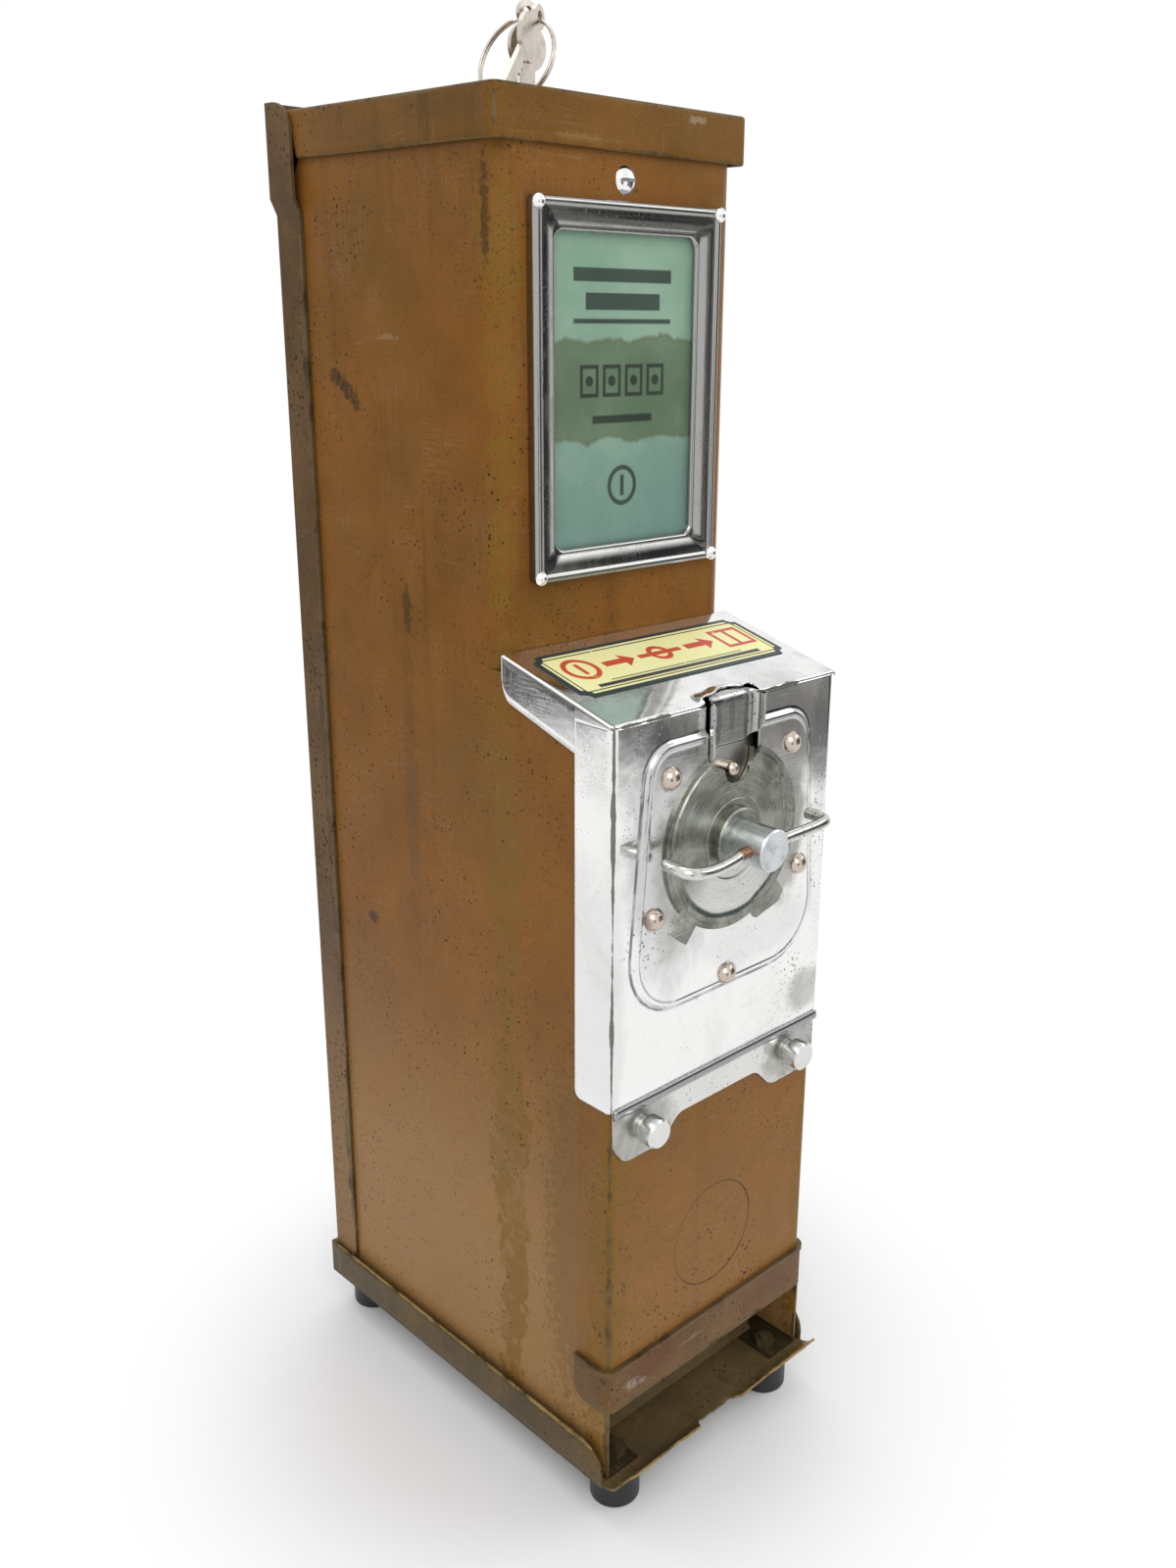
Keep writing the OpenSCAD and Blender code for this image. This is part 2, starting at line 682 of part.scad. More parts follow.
// Slot for the coin, up the middle of the panel, and the torn edge of the hood above it.
slot_x = bore_chute / 2 + 0.9 + 0.4;
slot_floor = axis_z + 15.2;
function chute_slot() = [[-slot_x, hood_front_z + 1], [-slot_x, slot_floor + 12],
                         [-6, slot_floor + 2], [0, slot_floor], [6, slot_floor + 2],
                         [slot_x, slot_floor + 12], [slot_x, hood_front_z + 1]];
function torn_lip() = let (y = hood_face) [[-slot_x, y - 1], [-slot_x, y + 1.2], [-8, y + 3.4],
    [-2, y + 4.6], [4, y + 3.2], [8.5, y + 2], [slot_x, y + 3], [slot_x, y - 1]];

// Rivet positions on the pad.
rivet_r = 1.8;
rivet_at = [[-28.5, 25.7], [28.5, 25.7], [-34.8, -18.7], [34.8, -18.7], [0, -48.3]];
module at_rivets() {
    for (p = rivet_at) translate([p[0], 0, axis_z + p[1]]) children();
}
module panel_rivets() {
    head_r = 3.8;
    head_h = 3;
    ball_r = (head_r * head_r + head_h * head_h) / (2 * head_h);
    color([0.72, 0.66, 0.6]) at_rivets() {
        intersection() {
            translate([0, pad_face - head_h + ball_r, 0]) sphere(ball_r);
            rod_y(head_r + 1, pad_face - head_h - 1, pad_face);
        }
        rod_y(rivet_r, pad_face - 0.5, web_y + web_t + 0.5);
        rod_y(rivet_r + 1, web_y + web_t, web_y + web_t + 1);
    }
}

// Channel that leads the coin down to the dial. Its right wall is the shorter one.
module coin_chute() {
    half = bore_chute / 2;
    wall = 0.9;
    floor_y = front_y - 0.1;
    top = slope_z(hood_face + 1, 0) + 0.6;
    low = axis_z + wheel_r + 0.8;
    color([0.6, 0.6, 0.58]) {
        along_y(floor_y, floor_y + wall)
            polygon([[-half - wall, top], [-half - wall, low], [half - 4, low],
                     [half + wall, low + 2.5], [half + wall, top]]);
        along_x(-half - wall, -half) polygon([[floor_y + wall, top], [floor_y - 4.4, top - 1],
                                              [floor_y - 4.4, axis_z + 29],
                                              [floor_y - 2.6, axis_z + 27],
                                              [wheel_y - loose, axis_z + 27],
                                              [wheel_y - loose, low], [floor_y + wall, low]]);
        along_x(half, half + wall) polygon([[floor_y + wall, top], [floor_y - 4.4, top - 1],
                                            [floor_y - 4.4, axis_z + 36],
                                            [floor_y - 2.6, axis_z + 33],
                                            [floor_y + wall, axis_z + 33]]);
    }
}

// Dished plate round the hub, with a notch at the top and two lugs below.
module dial_plate() {
    bore = hub_r + 0.4;
    step_r = dial_r - 2.2;
    rim = [[bore, dial_face + dial_t], [bore, dial_face], [13, dial_face], [13.4, dial_face + 0.3],
           [14, dial_face], [step_r, dial_face], [step_r + 0.5, dial_face + dial_step],
           [dial_r, dial_face + dial_step], [dial_r, pad_face], [step_r - 0.5, pad_face],
           [step_r - 0.5, dial_face + dial_t]];
    notch = outline([[-12.8, 31.5], [-12.6, 26], [-5.5, 24], [-5.5, 18.6], [5.5, 18.6],
                     [6, 23.5], [12.4, 28], [12.8, 31.5]], [0, 1.2, 2, 4.5, 4.5, 3, 2, 0]);
    color([0.62, 0.62, 0.58]) translate([0, 0, axis_z]) difference() {
        union() {
            turned_y(rim);
            along_y(pad_face - dial_t, pad_face) {
                polygon([arc_at(28, -122), arc_at(37.6, -124), arc_at(38, -139), arc_at(28, -141)]);
                polygon([arc_at(28, -70), arc_at(34.5, -68), arc_at(38, -50), arc_at(36.5, -44),
                         arc_at(28, -42)]);
            }
        }
        along_y(dial_face - 1, pad_face + 1) polygon(notch);
    }
}
function arc_at(r, a) = [r * cos(a), r * sin(a)];

// Ring round the hub that the spindle turns in.
module bearing_collar() {
    color([0.66, 0.65, 0.58]) translate([0, 0, axis_z])
        turned_y([[hub_r + fit, collar_face], [9.9, collar_face], [10.5, collar_face + 0.6],
                  [10.5, dial_face], [hub_r + fit, dial_face]]);
}

// Hub and spindle in one, with a cross bore for the handle.
handle_y = hub_face + 5.6;
module spindle() {
    end_y = crank_y + 1.5;
    color([0.5, 0.53, 0.57]) translate([0, 0, axis_z]) difference() {
        turned_y([[0, hub_face], [hub_r - 0.5, hub_face], [hub_r, hub_face + 0.5],
                  [hub_r, dial_face + 0.3], [spindle_r, dial_face + 0.3],
                  [spindle_r, end_y - 0.5], [spindle_r - 0.5, end_y], [0, end_y]]);
        translate([0, handle_y, 0]) rod_x(wire_r, -hub_r - 1, hub_r + 1);
    }
}

// Wire handle with both ends turned back towards the panel.
module handle_bar() {
    bend = 3.2;
    color([0.62, 0.62, 0.61]) translate([0, handle_y, axis_z]) {
        rod_x(wire_r, -handle_half + bend, handle_half - bend);
        for (s = [0, 1]) mirror([s, 0, 0]) {
            translate([handle_half - bend, bend, 0]) rotate([0, 0, -90])
                rotate_extrude(angle = 90) translate([bend, 0]) circle(wire_r);
            translate([handle_half, 0, 0]) rod_y(wire_r, bend - eps, handle_tip);
        }
    }
}

// Disc on the spindle, with a notch for the coin and an arc slot that the feeler runs in.
wheel_y = pad_face + hood_t + 0.15;
feeler_at = 22.5;
module coin_wheel() {
    coin_at = wheel_r - 3.5;
    slot_turn = handle_turn + 12;
    color([0.66, 0.64, 0.58]) translate([0, wheel_y + wheel_t, axis_z]) rotate([90, 0, 0])
        linear_extrude(wheel_t) difference() {
            circle(wheel_r, $fn = 96);
            circle(spindle_r);
            translate([0, coin_at]) circle(coin_d / 2 + 0.4);
            translate([0, coin_at + 10]) square([coin_d + 0.8, 20], center = true);
            polygon(concat([for (i = [0:12]) arc_at(feeler_at + 3.2, 88 + i * slot_turn / 12)],
                           [for (i = [12:-1:0]) arc_at(feeler_at - 3.2, 88 + i * slot_turn / 12)]));
        }
}

// ---------------------------------------------------------------- mechanism

// Web behind the panel with two cheeks that carry the rocker.
module mechanism_frame() {
    z0 = axis_z - 58;
    z1 = axis_z + 19;
    w = cheek_x + web_t;
    color(zinc) difference() {
        union() {
            along_y(web_y, web_y + web_t) {
                translate([-w, z0]) square([2 * w, z1 - z0]);
                for (s = [-1, 1]) translate([s * 28.5 - 6, z1 - 1]) square([12, 15]);
                translate([-13, z1 - 1]) square([26, 16]);
            }
            for (s = [0, 1]) mirror([s, 0, 0]) along_x(cheek_x, w)
                polygon(outline([[web_y, z0], [web_y + 20, z0], [rocker_y + 7, axis_z - 14],
                                 [rocker_y + 7, axis_z + 9], [rocker_y - 10, z1], [web_y, z1]],
                                [0, 4, 5, 5, 5, 0]));
        }
        translate([0, 0, axis_z]) {
            rod_y(spindle_r + fit, web_y - 1, web_y + web_t + 1);
            translate([0, 0, feeler_at]) rod_y(feeler_r + fit, web_y - 1, web_y + web_t + 1);
        }
        at_rivets() rod_y(rivet_r + fit, web_y - 1, web_y + web_t + 1);
        translate([0, rocker_y, axis_z]) rod_x(rocker_r + fit, -w - 1, w + 1);
        along_x(cheek_x - 1, w + 1) polygon(duct_mouth());
    }
}
// Window through which coins pass into the duct, seen from the side.
duct_y0 = web_y + web_t + 2.5;
function duct_mouth() = [[duct_y0, axis_z - 42], [duct_y0 + 14, axis_z - 42],
                         [duct_y0 + 24, axis_z - 30], [duct_y0 + 24, axis_z - 16],
                         [duct_y0, axis_z - 16]];

// Spring plunger behind the notch, with a ball nose that the coin rests against.
feeler_r = 2.6;
module coin_feeler() {
    color([0.72, 0.6, 0.52]) translate([0, 0, axis_z + feeler_at]) {
        rod_y(feeler_r, web_y - 2.4, web_y + web_t + 5);
        translate([0, web_y - 2.4, 0]) sphere(feeler_r);
        rod_y(feeler_r + 1.4, web_y + web_t + 2.3, web_y + web_t + 3.5);
    }
}

// Arm on the rear of the spindle, with the pin that drives the rocker.
crank_x = -crank_r * cos(handle_turn / 2);
crank_z = -crank_r * sin(handle_turn / 2);
module crank_arm() {
    color(zinc) translate([0, 0, axis_z]) {
        difference() {
            union() {
                rod_y(spindle_r + 3.5, crank_y - 3, crank_y);
                rotate([0, 180 - handle_turn / 2, 0]) translate([0, crank_y - 3, -4])
                    cube([crank_r, 3, 8]);
                translate([crank_x, 0, crank_z]) rod_y(4, crank_y - 3, crank_y);
            }
            rod_y(spindle_r, crank_y - 4, crank_y + 1);
        }
        translate([crank_x, 0, crank_z]) rod_y(peg_r, crank_y - 1, rocker_y - input_len + 4.4);
    }
}

// Cross shaft with a fork that the crank pin moves and two arms that drive the slide.
rocker_r = 3;
module rocker() {
    fork_x = crank_r * (1 + cos(handle_turn / 2)) / 2;
    out_z = peg_gap / 2 + 2 * nose_r;
    slot_z = peg_gap / 2 + 0.6;
    color(zinc) translate([0, rocker_y, axis_z]) rotate([rocker_swing, 0, 0]) {
        rod_x(rocker_r, -cheek_x - web_t - 1.5, cheek_x + web_t + 1.5);
        along_x(-fork_x - 6, -fork_x + 6) {
            difference() {
                polygon([[3, -5], [-10, -8], [-input_len, -out_z], [-input_len, out_z],
                         [-10, 8], [3, 5]]);
                translate([-input_len - 1, -slot_z]) square([7.4, 2 * slot_z]);
            }
            for (s = [-1, 1]) translate([-input_len, s * (peg_gap / 2 + nose_r)]) circle(nose_r);
        }
        for (s = [0, 1]) mirror([s, 0, 0]) {
            along_x(arm_x, arm_x + arm_t) {
                circle(6);
                translate([-3.6, -rocker_len]) square([7.2, rocker_len]);
                translate([0, -rocker_len]) circle(3.6);
            }
            translate([0, 0, -rocker_len]) rod_x(peg_r, arm_x - 3, arm_x + 1);
        }
    }
}

// Flat slide on the bed: a pusher behind the folders, side strips, and slotted ears.
module ejector_slide() {
    ear_x = arm_x - 2.2;
    ear_t = 1.2;
    push_y = stack_y1 + loose;
    rear = push_y + 14;
    strip_x = folder_w / 2 + 0.6;
    color([0.66, 0.66, 0.64]) difference() {
        union() {
            along_z(slide_z, slide_z + slide_t) difference() {
                translate([-ear_x - ear_t, ear_y - 6]) square([2 * (ear_x + ear_t), rear - ear_y + 6]);
                translate([-strip_x, ear_y - 7]) square([2 * strip_x, push_y - ear_y + 7]);
            }
            along_z(slide_z, slide_z + slide_t) translate([-strip_x, push_y])
                square([2 * strip_x, travel + 4]);
            for (s = [-1, 1]) along_x(s > 0 ? ear_x : -ear_x - ear_t, s > 0 ? ear_x + ear_t : -ear_x)
                polygon(outline([[ear_y - 6, slide_z], [ear_y + 6, slide_z],
                                 [ear_y + 6, axis_z - rocker_len + 12],
                                 [ear_y - 6, axis_z - rocker_len + 12]], [0, 0, 3, 3]));
        }
        along_x(-arm_x, arm_x) {
            translate([ear_y - peg_r - 0.5, axis_z - rocker_len - 1])
                square([2 * peg_r + 1, rocker_len * (1 - cos(rocker_swing)) + 2]);
            for (z = [-1, rocker_len * (1 - cos(rocker_swing)) + 1])
                translate([ear_y, axis_z - rocker_len + z]) circle(peg_r + 0.5);
        }
    }
}

// ---------------------------------------------------------------- magazine and delivery

module folder_slab(z) {
    along_z(z, z + folder_t) translate([-folder_w / 2, stack_y0]) square([folder_w, folder_d]);
}
module next_folder() {
    color([0.85, 0.8, 0.66]) folder_slab(bed_z);
}
folder_pitch = folder_t + 0.02;
module stamp_folders() {
    color([0.82, 0.77, 0.63]) for (i = [1:folders]) folder_slab(bed_z + i * folder_pitch);
}
stack_top = bed_z + (folders + 1) * folder_pitch;
module follower_weight() {
    color([0.3, 0.31, 0.32]) difference() {
        along_z(stack_top, stack_top + 12) translate([0, (stack_y0 + stack_y1) / 2])
            round_rect(folder_w - 1, folder_d - 1, 3);
        translate([0, (stack_y0 + stack_y1) / 2, 0]) rod_z(6, stack_top + 3, stack_top + 13);
    }
}

// Shelf under the folders, with flanges down both case sides.
bed_t = 1.2;
module magazine_bed() {
    color(zinc) along_x(-inner_w, inner_w)
        translate([upper_y + 1, bed_z - bed_t]) square([rear_d - upper_y - 3, bed_t]);
    color(zinc) for (s = [-1, 1]) along_x(s > 0 ? inner_w - bed_t : -inner_w,
                                          s > 0 ? inner_w : -inner_w + bed_t)
        translate([upper_y + 9, bed_z - 12]) square([rear_d - upper_y - 11, 12]);
}

// Two channels that keep the folders in a stack. Legs reach out to the case sides.
module magazine_guides() {
    web_x = folder_w / 2 + 0.5;
    t = 1;
    z0 = slide_z + slide_t + 0.3;
    gate = bed_z + folder_t + 0.4;
    top = case_top - 22;
    color(zinc) for (s = [0, 1]) mirror([s, 0, 0]) {
        along_z(z0, top) translate([web_x, stack_y0 - 0.3])
            square([t, folder_d + 0.6]);
        along_z(gate, top) translate([web_x - 7, stack_y0 - 0.3 - t])
            square([7 + t, t]);
        along_z(z0, top) translate([web_x - 7, stack_y1 + 0.3]) square([7 + t, t]);
        along_z(axis_z + 40, top) {
            translate([web_x + t - eps, stack_y1 - 12]) square([inner_w - web_x - t + eps, t]);
            translate([inner_w - t, stack_y1 - 12]) square([t, 10]);
        }
    }
}

// Apron from the bed's front edge down to the delivery tray.
module delivery_apron() {
    x1 = duct_x0 - 0.8;
    y = upper_y + 0.8;
    z1 = bed_z - bed_t - 0.2;
    z0 = floor_z + sheet;
    color([0.5, 0.46, 0.36]) {
        along_x(-inner_w, x1)
            polygon(outline([[y, z1], [y - 1, z1], [y - 1, 88], [front_y + 16, z0],
                             [front_y + 17.4, z0], [y, 88]], [0, 0, 30, 0, 0, 31]));
        along_x(x1 - 1, x1) polygon([[y - 0.5, z1], [y + 8, z1], [y + 8, 112], [y - 0.5, 112]]);
    }
}

// Flat duct beside the right-hand case wall, from the cheek's window down to the coin box.
duct_x0 = cheek_x + web_t + 0.3;
duct_x1 = inner_w - 0.2;
module coin_duct() {
    t = 0.8;
    top = axis_z - 14;
    y0 = duct_y0 - t;
    y1 = y0 + 26;
    end_y = upper_y + 6;
    path = [[y0, top], [y0, axis_z - 44], [end_y, 112], [end_y + 30, 112],
            [y1, axis_z - 32], [y1, top]];
    bore = [[y0 + t, top + 1], [y0 + t, axis_z - 44], [end_y + t, 111],
            [end_y + 30 - t, 111], [y1 - t, axis_z - 32], [y1 - t, top + 1]];
    color(zinc) difference() {
        along_x(duct_x0, duct_x1) polygon(path);
        along_x(duct_x0 + t, duct_x1 - t) polygon(bore);
        along_x(duct_x0 - 1, duct_x0 + t + 1) polygon(duct_mouth());
    }
}

// Open box for the coins, standing behind the apron.
module coin_box() {
    t = 1;
    x = inner_w - 2;
    y0 = upper_y + 3;
    y1 = rear_d - foot_in - 7;
    color([0.55, 0.55, 0.52]) difference() {
        translate([-x, y0, floor_z + sheet]) cube([2 * x, y1 - y0, 92]);
        translate([-x + t, y0 + t, floor_z + sheet + t]) cube([2 * (x - t), y1 - y0 - 2 * t, 92]);
    }
}

// ---------------------------------------------------------------- lug plate and thumb nuts

stud_r = 1.9;
nut_x = 36.4;
nut_z = axis_z - 91;
module at_nut(s) {
    translate([s * nut_x, 0, nut_z]) children();
}
plate_y = front_y - touch_gap - 0.8;
// Plate under the panel's hem, with an ear round each stud.
module lug_plate() {
    top = hood_bottom_z + 1.2;
    low = hood_bottom_z - 11.4;
    shape = [[-50, top], [-49.7, low - 2], [-45, low - 8], [-28, low - 8], [-20, low], [19, low],
             [27, low - 8.4], [46, low - 8.2], [50, low - 3], [50, top]];
    color([0.6, 0.59, 0.56]) difference() {
        along_y(plate_y, front_y - touch_gap)
            polygon(outline(shape, [0, 5, 5, 7, 6, 6, 7, 5, 4, 0], 6));
        for (s = [-1, 1]) at_nut(s) rod_y(stud_r + 0.2, plate_y - 1, front_y);
    }
}
module knob_studs() {
    color(zinc) for (s = [-1, 1]) at_nut(s) {
        rod_y(stud_r, plate_y - 5, front_y + sheet + 1);
        rod_y(stud_r + 2.4, front_y + sheet, front_y + sheet + 1.4);
    }
}
// Round nut with a flat face and a narrower neck.
module thumb_nut() {
    r = 5.1;
    face = plate_y - 7.6;
    seat = plate_y - 0.1;
    color([0.68, 0.67, 0.64]) difference() {
        turned_y([[0, face], [r - 0.6, face], [r, face + 0.6], [r, seat - 2.4],
                  [r - 1.4, seat - 1.6], [r - 1.4, seat], [0, seat]]);
        rod_y(stud_r + fit, plate_y - 5.4, plate_y + 1);
    }
}
module left_thumb_nut() {
    at_nut(-1) thumb_nut();
}
module right_thumb_nut() {
    at_nut(1) thumb_nut();
}

// ---------------------------------------------------------------- window and label

// Moulded frame with a steep outer bead and a face that slopes in to the window.
screw_x = frame_w / 2 - 1.5;
screw_z = frame_h / 2 - 1.9;
module at_window_screws() {
    for (i = [-1, 1], j = [-1, 1]) translate([i * screw_x, 0, frame_z + j * screw_z]) children();
}
module window_frame() {
    face = upper_y - frame_rise;
    bead = 2.3;
    low = upper_y - 1.4;
    wide = frame_w / 2 - bead;
    tall = frame_h / 2 - bead;
    color(plated) difference() {
        translate([0, 0, frame_z]) along_y(face, upper_y) round_rect(frame_w, frame_h, 2.2);
        intersection() {
            along_z(frame_z - frame_h, frame_z + frame_h)
                polygon([[-wide, face - 1], [wide, face - 1], [wide - 0.4, face + 1],
                         [frame_in_w / 2 - 1, low], [1 - frame_in_w / 2, low],
                         [0.4 - wide, face + 1]]);
            translate([0, 0, frame_z]) along_x(-frame_w, frame_w)
                polygon([[face - 1, -tall], [face + 1, 0.4 - tall], [low, 1 - frame_in_h / 2],
                         [low, frame_in_h / 2 - 1], [face + 1, tall - 0.4], [face - 1, tall]]);
        }
        translate([0, 0, frame_z]) along_y(face - 1, upper_y + 1)
            round_rect(frame_in_w, frame_in_h, 3.5);
        at_window_screws() rod_y(1.2 + fit, face - 1, upper_y + 1);
    }
}
glass_w = frame_in_w + 6;
glass_h = frame_in_h + 6;
module window_holes() {
    translate([0, 0, frame_z]) along_y(upper_y - 1, upper_y + sheet + 1)
        square([glass_w + 0.4, glass_h + 0.4], center = true);
    at_window_screws() rod_y(1.2 + fit, upper_y - 1, upper_y + sheet + 1);
    translate([0, 0, top_z]) rod_y(2 + fit, upper_y - 1, upper_y + sheet + 1);
}
module window_glass() {
    color([0.8, 0.88, 0.84, 0.5]) translate([0, 0, frame_z])
        along_y(upper_y, upper_y + sheet) square([glass_w, glass_h], center = true);
}
module window_card() {
    color([0.72, 0.77, 0.6]) translate([0, 0, frame_z])
        along_y(upper_y + sheet, upper_y + sheet + 0.3)
            square([glass_w + 6, glass_h + 4], center = true);
}
module window_screws() {
    head_r = 2.3;
    head_h = 1.7;
    face = upper_y - frame_rise;
    ball_r = (head_r * head_r + head_h * head_h) / (2 * head_h);
    color(plated) at_window_screws() {
        rod_y(1.2, face - 0.5, upper_y + sheet + 1.6);
        intersection() {
            translate([0, face - head_h + ball_r, 0]) sphere(ball_r);
            rod_y(head_r + 1, face - head_h - 1, face);
        }
    }
}
top_z = frame_z + 62.3;
module top_screw() {
    color(zinc) translate([0, 0, top_z]) {
        difference() {
            intersection() {
                translate([0, upper_y + 3.2, 0]) sphere(5.3);
                rod_y(6, upper_y - 4, upper_y);
            }
            translate([-5, upper_y - 3, -0.5]) cube([10, 2, 1]);
        }
        rod_y(2, upper_y - 0.5, upper_y + sheet + 4);
        translate([0, upper_y + sheet + 2.2, 0]) rotate([90, 0, 0])
            cylinder(r = 3.8, h = 2.2, $fn = 6);
    }
}

// Sheet stuck on the hood's slope, with scooped corners.
module instruction_label() {
    w = case_w - 8.6;
    s0 = 17;
    s1 = 45.4;
    color([0.86, 0.82, 0.4]) translate([0, hood_face, hood_front_z]) rotate([hood_slope, 0, 0])
        along_z(0, 0.25) difference() {
            translate([-w / 2, s0]) square([w, s1 - s0]);
            for (i = [-1, 1], s = [s0, s1]) translate([i * w / 2, s]) circle(3);
        }
}

case_shell();
lower_front();
front_plug();
front_band();
base_tray();
rubber_feet();
foot_screws();
back_plate();
back_screws();
lid();
lid_leaf();
hinge_rail();
hinge_pin();
lock_body();
lock_plug();
lock_cam();
lock_keeper();
key();
key_ring();
spare_key();
hood_panel();
coin_chute();
dial_plate();
bearing_collar();
spindle();
coin_wheel();
handle_bar();
mechanism_frame();
panel_rivets();
lug_plate();
knob_studs();
left_thumb_nut();
right_thumb_nut();
coin_feeler();
crank_arm();
rocker();
ejector_slide();
next_folder();
magazine_bed();
magazine_guides();
stamp_folders();
follower_weight();
delivery_apron();
coin_duct();
coin_box();
window_frame();
window_glass();
window_card();
window_screws();
top_screw();
instruction_label();
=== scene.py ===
import bpy
import bmesh
import math
import numpy as np
from mathutils import Matrix


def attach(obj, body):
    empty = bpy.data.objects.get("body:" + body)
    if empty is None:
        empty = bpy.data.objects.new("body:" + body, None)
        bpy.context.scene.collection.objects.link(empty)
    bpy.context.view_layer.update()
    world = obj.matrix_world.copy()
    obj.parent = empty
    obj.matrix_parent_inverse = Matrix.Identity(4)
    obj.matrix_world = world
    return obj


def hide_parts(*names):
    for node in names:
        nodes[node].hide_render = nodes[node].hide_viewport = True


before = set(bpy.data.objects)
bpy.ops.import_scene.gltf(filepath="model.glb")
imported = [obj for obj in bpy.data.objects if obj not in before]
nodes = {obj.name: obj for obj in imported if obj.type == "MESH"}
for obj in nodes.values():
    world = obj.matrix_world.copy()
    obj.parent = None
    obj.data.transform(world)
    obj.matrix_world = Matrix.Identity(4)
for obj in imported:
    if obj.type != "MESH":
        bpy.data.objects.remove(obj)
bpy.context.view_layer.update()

MM = 0.001
X, Y, Z = 0, 1, 2

# Main sizes of the machine, in millimetres, where the CAD model has them.
HALF_W = 50.8
FRONT_Y = -71.4
UPPER_Y = -22.4
FLANGE_Y = -56.1
HOOD_FACE = -72.4
HOOD_OUT = 51.8
HOOD_LOW = 159.4
HOOD_Z = 286.9
HOOD_REAR = -22.5
AXIS_Z = 241.0
LID_TOP = 461.1
LID_X = 52.9
LID_FRONT = -24.5
LID_REAR = 81.2
LID_SKIRT = 14.8
LOCK_Y = 23.0
LOCK_HOLE = 8.6
CASE_TOP = 459.5
PANEL_TOP = 285.95
SLOT_HALF = 12.0
SLOT_LOW = 258.5
HUB_HOLE = 9.0
WINDOW_Z = 376.4
FRAME_HALF_W, FRAME_HALF_H = 39.95, 56.25
WIRE_Y = -86.6
# Radius of the dial's painted reflection and of its crescent of painted shadow.
CRESCENT_R = 25.1


# ------------------------------------------------------------------ camera, lights, floor

def aim(azimuth, elevation, roll):
    """Axes of a camera that looks along azimuth (from +Y towards +X), down by elevation,
    and is turned by roll about its line of sight."""
    a, e, r = (math.radians(v) for v in (azimuth, elevation, roll))
    ahead = np.array([math.sin(a) * math.cos(e), math.cos(a) * math.cos(e), -math.sin(e)])
    side = np.array([math.cos(a), -math.sin(a), 0.0])
    up = np.cross(side, ahead)
    return (math.cos(r) * side + math.sin(r) * up, -math.sin(r) * side + math.cos(r) * up, ahead)


def place_camera():
    right, up, ahead = aim(45.169, 17.642, 0.8434)
    lens = bpy.data.cameras.new("photo_view")
    lens.sensor_width = 36.0
    lens.lens = 32.866
    lens.shift_x = -0.03534
    lens.shift_y = -0.01223
    lens.clip_start = 0.01
    cam = bpy.data.objects.new("photo_view", lens)
    bpy.context.scene.collection.objects.link(cam)
    turn = Matrix([[right[i], up[i], -ahead[i]] for i in range(3)]).to_4x4()
    cam.matrix_world = Matrix.Translation((-0.3255, -0.3571, 0.4015)) @ turn
    bpy.context.scene.camera = cam


def soft_light(name, place, aim_at, size, watts):
    lamp = bpy.data.lights.new(name, "AREA")
    lamp.shape = "RECTANGLE"
    lamp.size, lamp.size_y = size
    lamp.energy = watts
    obj = bpy.data.objects.new(name, lamp)
    bpy.context.scene.collection.objects.link(obj)
    p, t = np.array(place), np.array(aim_at)
    back = (p - t) / np.linalg.norm(p - t)
    side = np.cross([0, 0, 1.0], back)
    side /= np.linalg.norm(side)
    up = np.cross(back, side)
    turn = Matrix([[side[i], up[i], back[i]] for i in range(3)]).to_4x4()
    obj.matrix_world = Matrix.Translation(place) @ turn


# ------------------------------------------------------------------ meshes

def make_piece(name, points, faces, body, material, node=()):
    """A mesh from an array of points in millimetres and a list or array of faces."""
    mesh = bpy.data.meshes.new(name)
    mesh.from_pydata((np.asarray(points, float) * MM).tolist(), [],
                     faces.tolist() if hasattr(faces, "tolist") else faces)
    mesh.validate()
    mesh.shade_smooth()
    obj = bpy.data.objects.new(name, mesh)
    bpy.context.scene.collection.objects.link(obj)
    mesh.materials.append(material)
    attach(obj, body)
    if node:
        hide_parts(*node)
    return obj


def join_seams(obj):
    """Joins points that lie on each other, so that a surface's seams are closed."""
    b = bmesh.new()
    b.from_mesh(obj.data)
    bmesh.ops.remove_doubles(b, verts=b.verts, dist=2e-6)
    b.to_mesh(obj.data)
    b.free()


def grid_faces(nu, nv, wrap_v=False, keep=None, start=0):
    """Quads of a grid whose points are numbered row by row, u first. keep is a mask of
    cells. Where v is wrapped, its last row joins its first."""
    u = np.arange(nu - 1)
    v = np.arange(nv if wrap_v else nv - 1)
    i, j = np.meshgrid(u, v, indexing="ij")
    j1 = (j + 1) % nv
    quads = np.stack([i * nv + j, (i + 1) * nv + j, (i + 1) * nv + j1, i * nv + j1], -1)
    quads = quads[keep] if keep is not None else quads.reshape(-1, 4)
    return quads + start


def sweep(path, shape):
    """A closed outline carried along a path. At each point of the path, the outline's
    first coordinate runs along the side direction and its second along the up direction.
    The side direction is the cross product of the tangent and a fixed up vector that
    is turned as little as possible from point to point."""
    path = np.asarray(path, float)
    ahead = np.gradient(path, axis=0)
    ahead /= np.linalg.norm(ahead, axis=1, keepdims=True)
    ups = np.zeros_like(path)
    up = np.array([0.0, 0.0, 1.0]) if abs(ahead[0][2]) < 0.9 else np.array([1.0, 0.0, 0.0])
    for k in range(len(path)):
        up = up - ahead[k] * (up @ ahead[k])
        up /= np.linalg.norm(up)
        ups[k] = up
    sides = np.cross(ahead, ups)
    shape = np.asarray(shape, float)
    if shape.ndim == 2:
        shape = np.repeat(shape[None], len(path), 0)
    pts = path[:, None] + sides[:, None] * shape[:, :, :1] + ups[:, None] * shape[:, :, 1:]
    return pts.reshape(-1, 3), grid_faces(len(path), shape.shape[1], True)


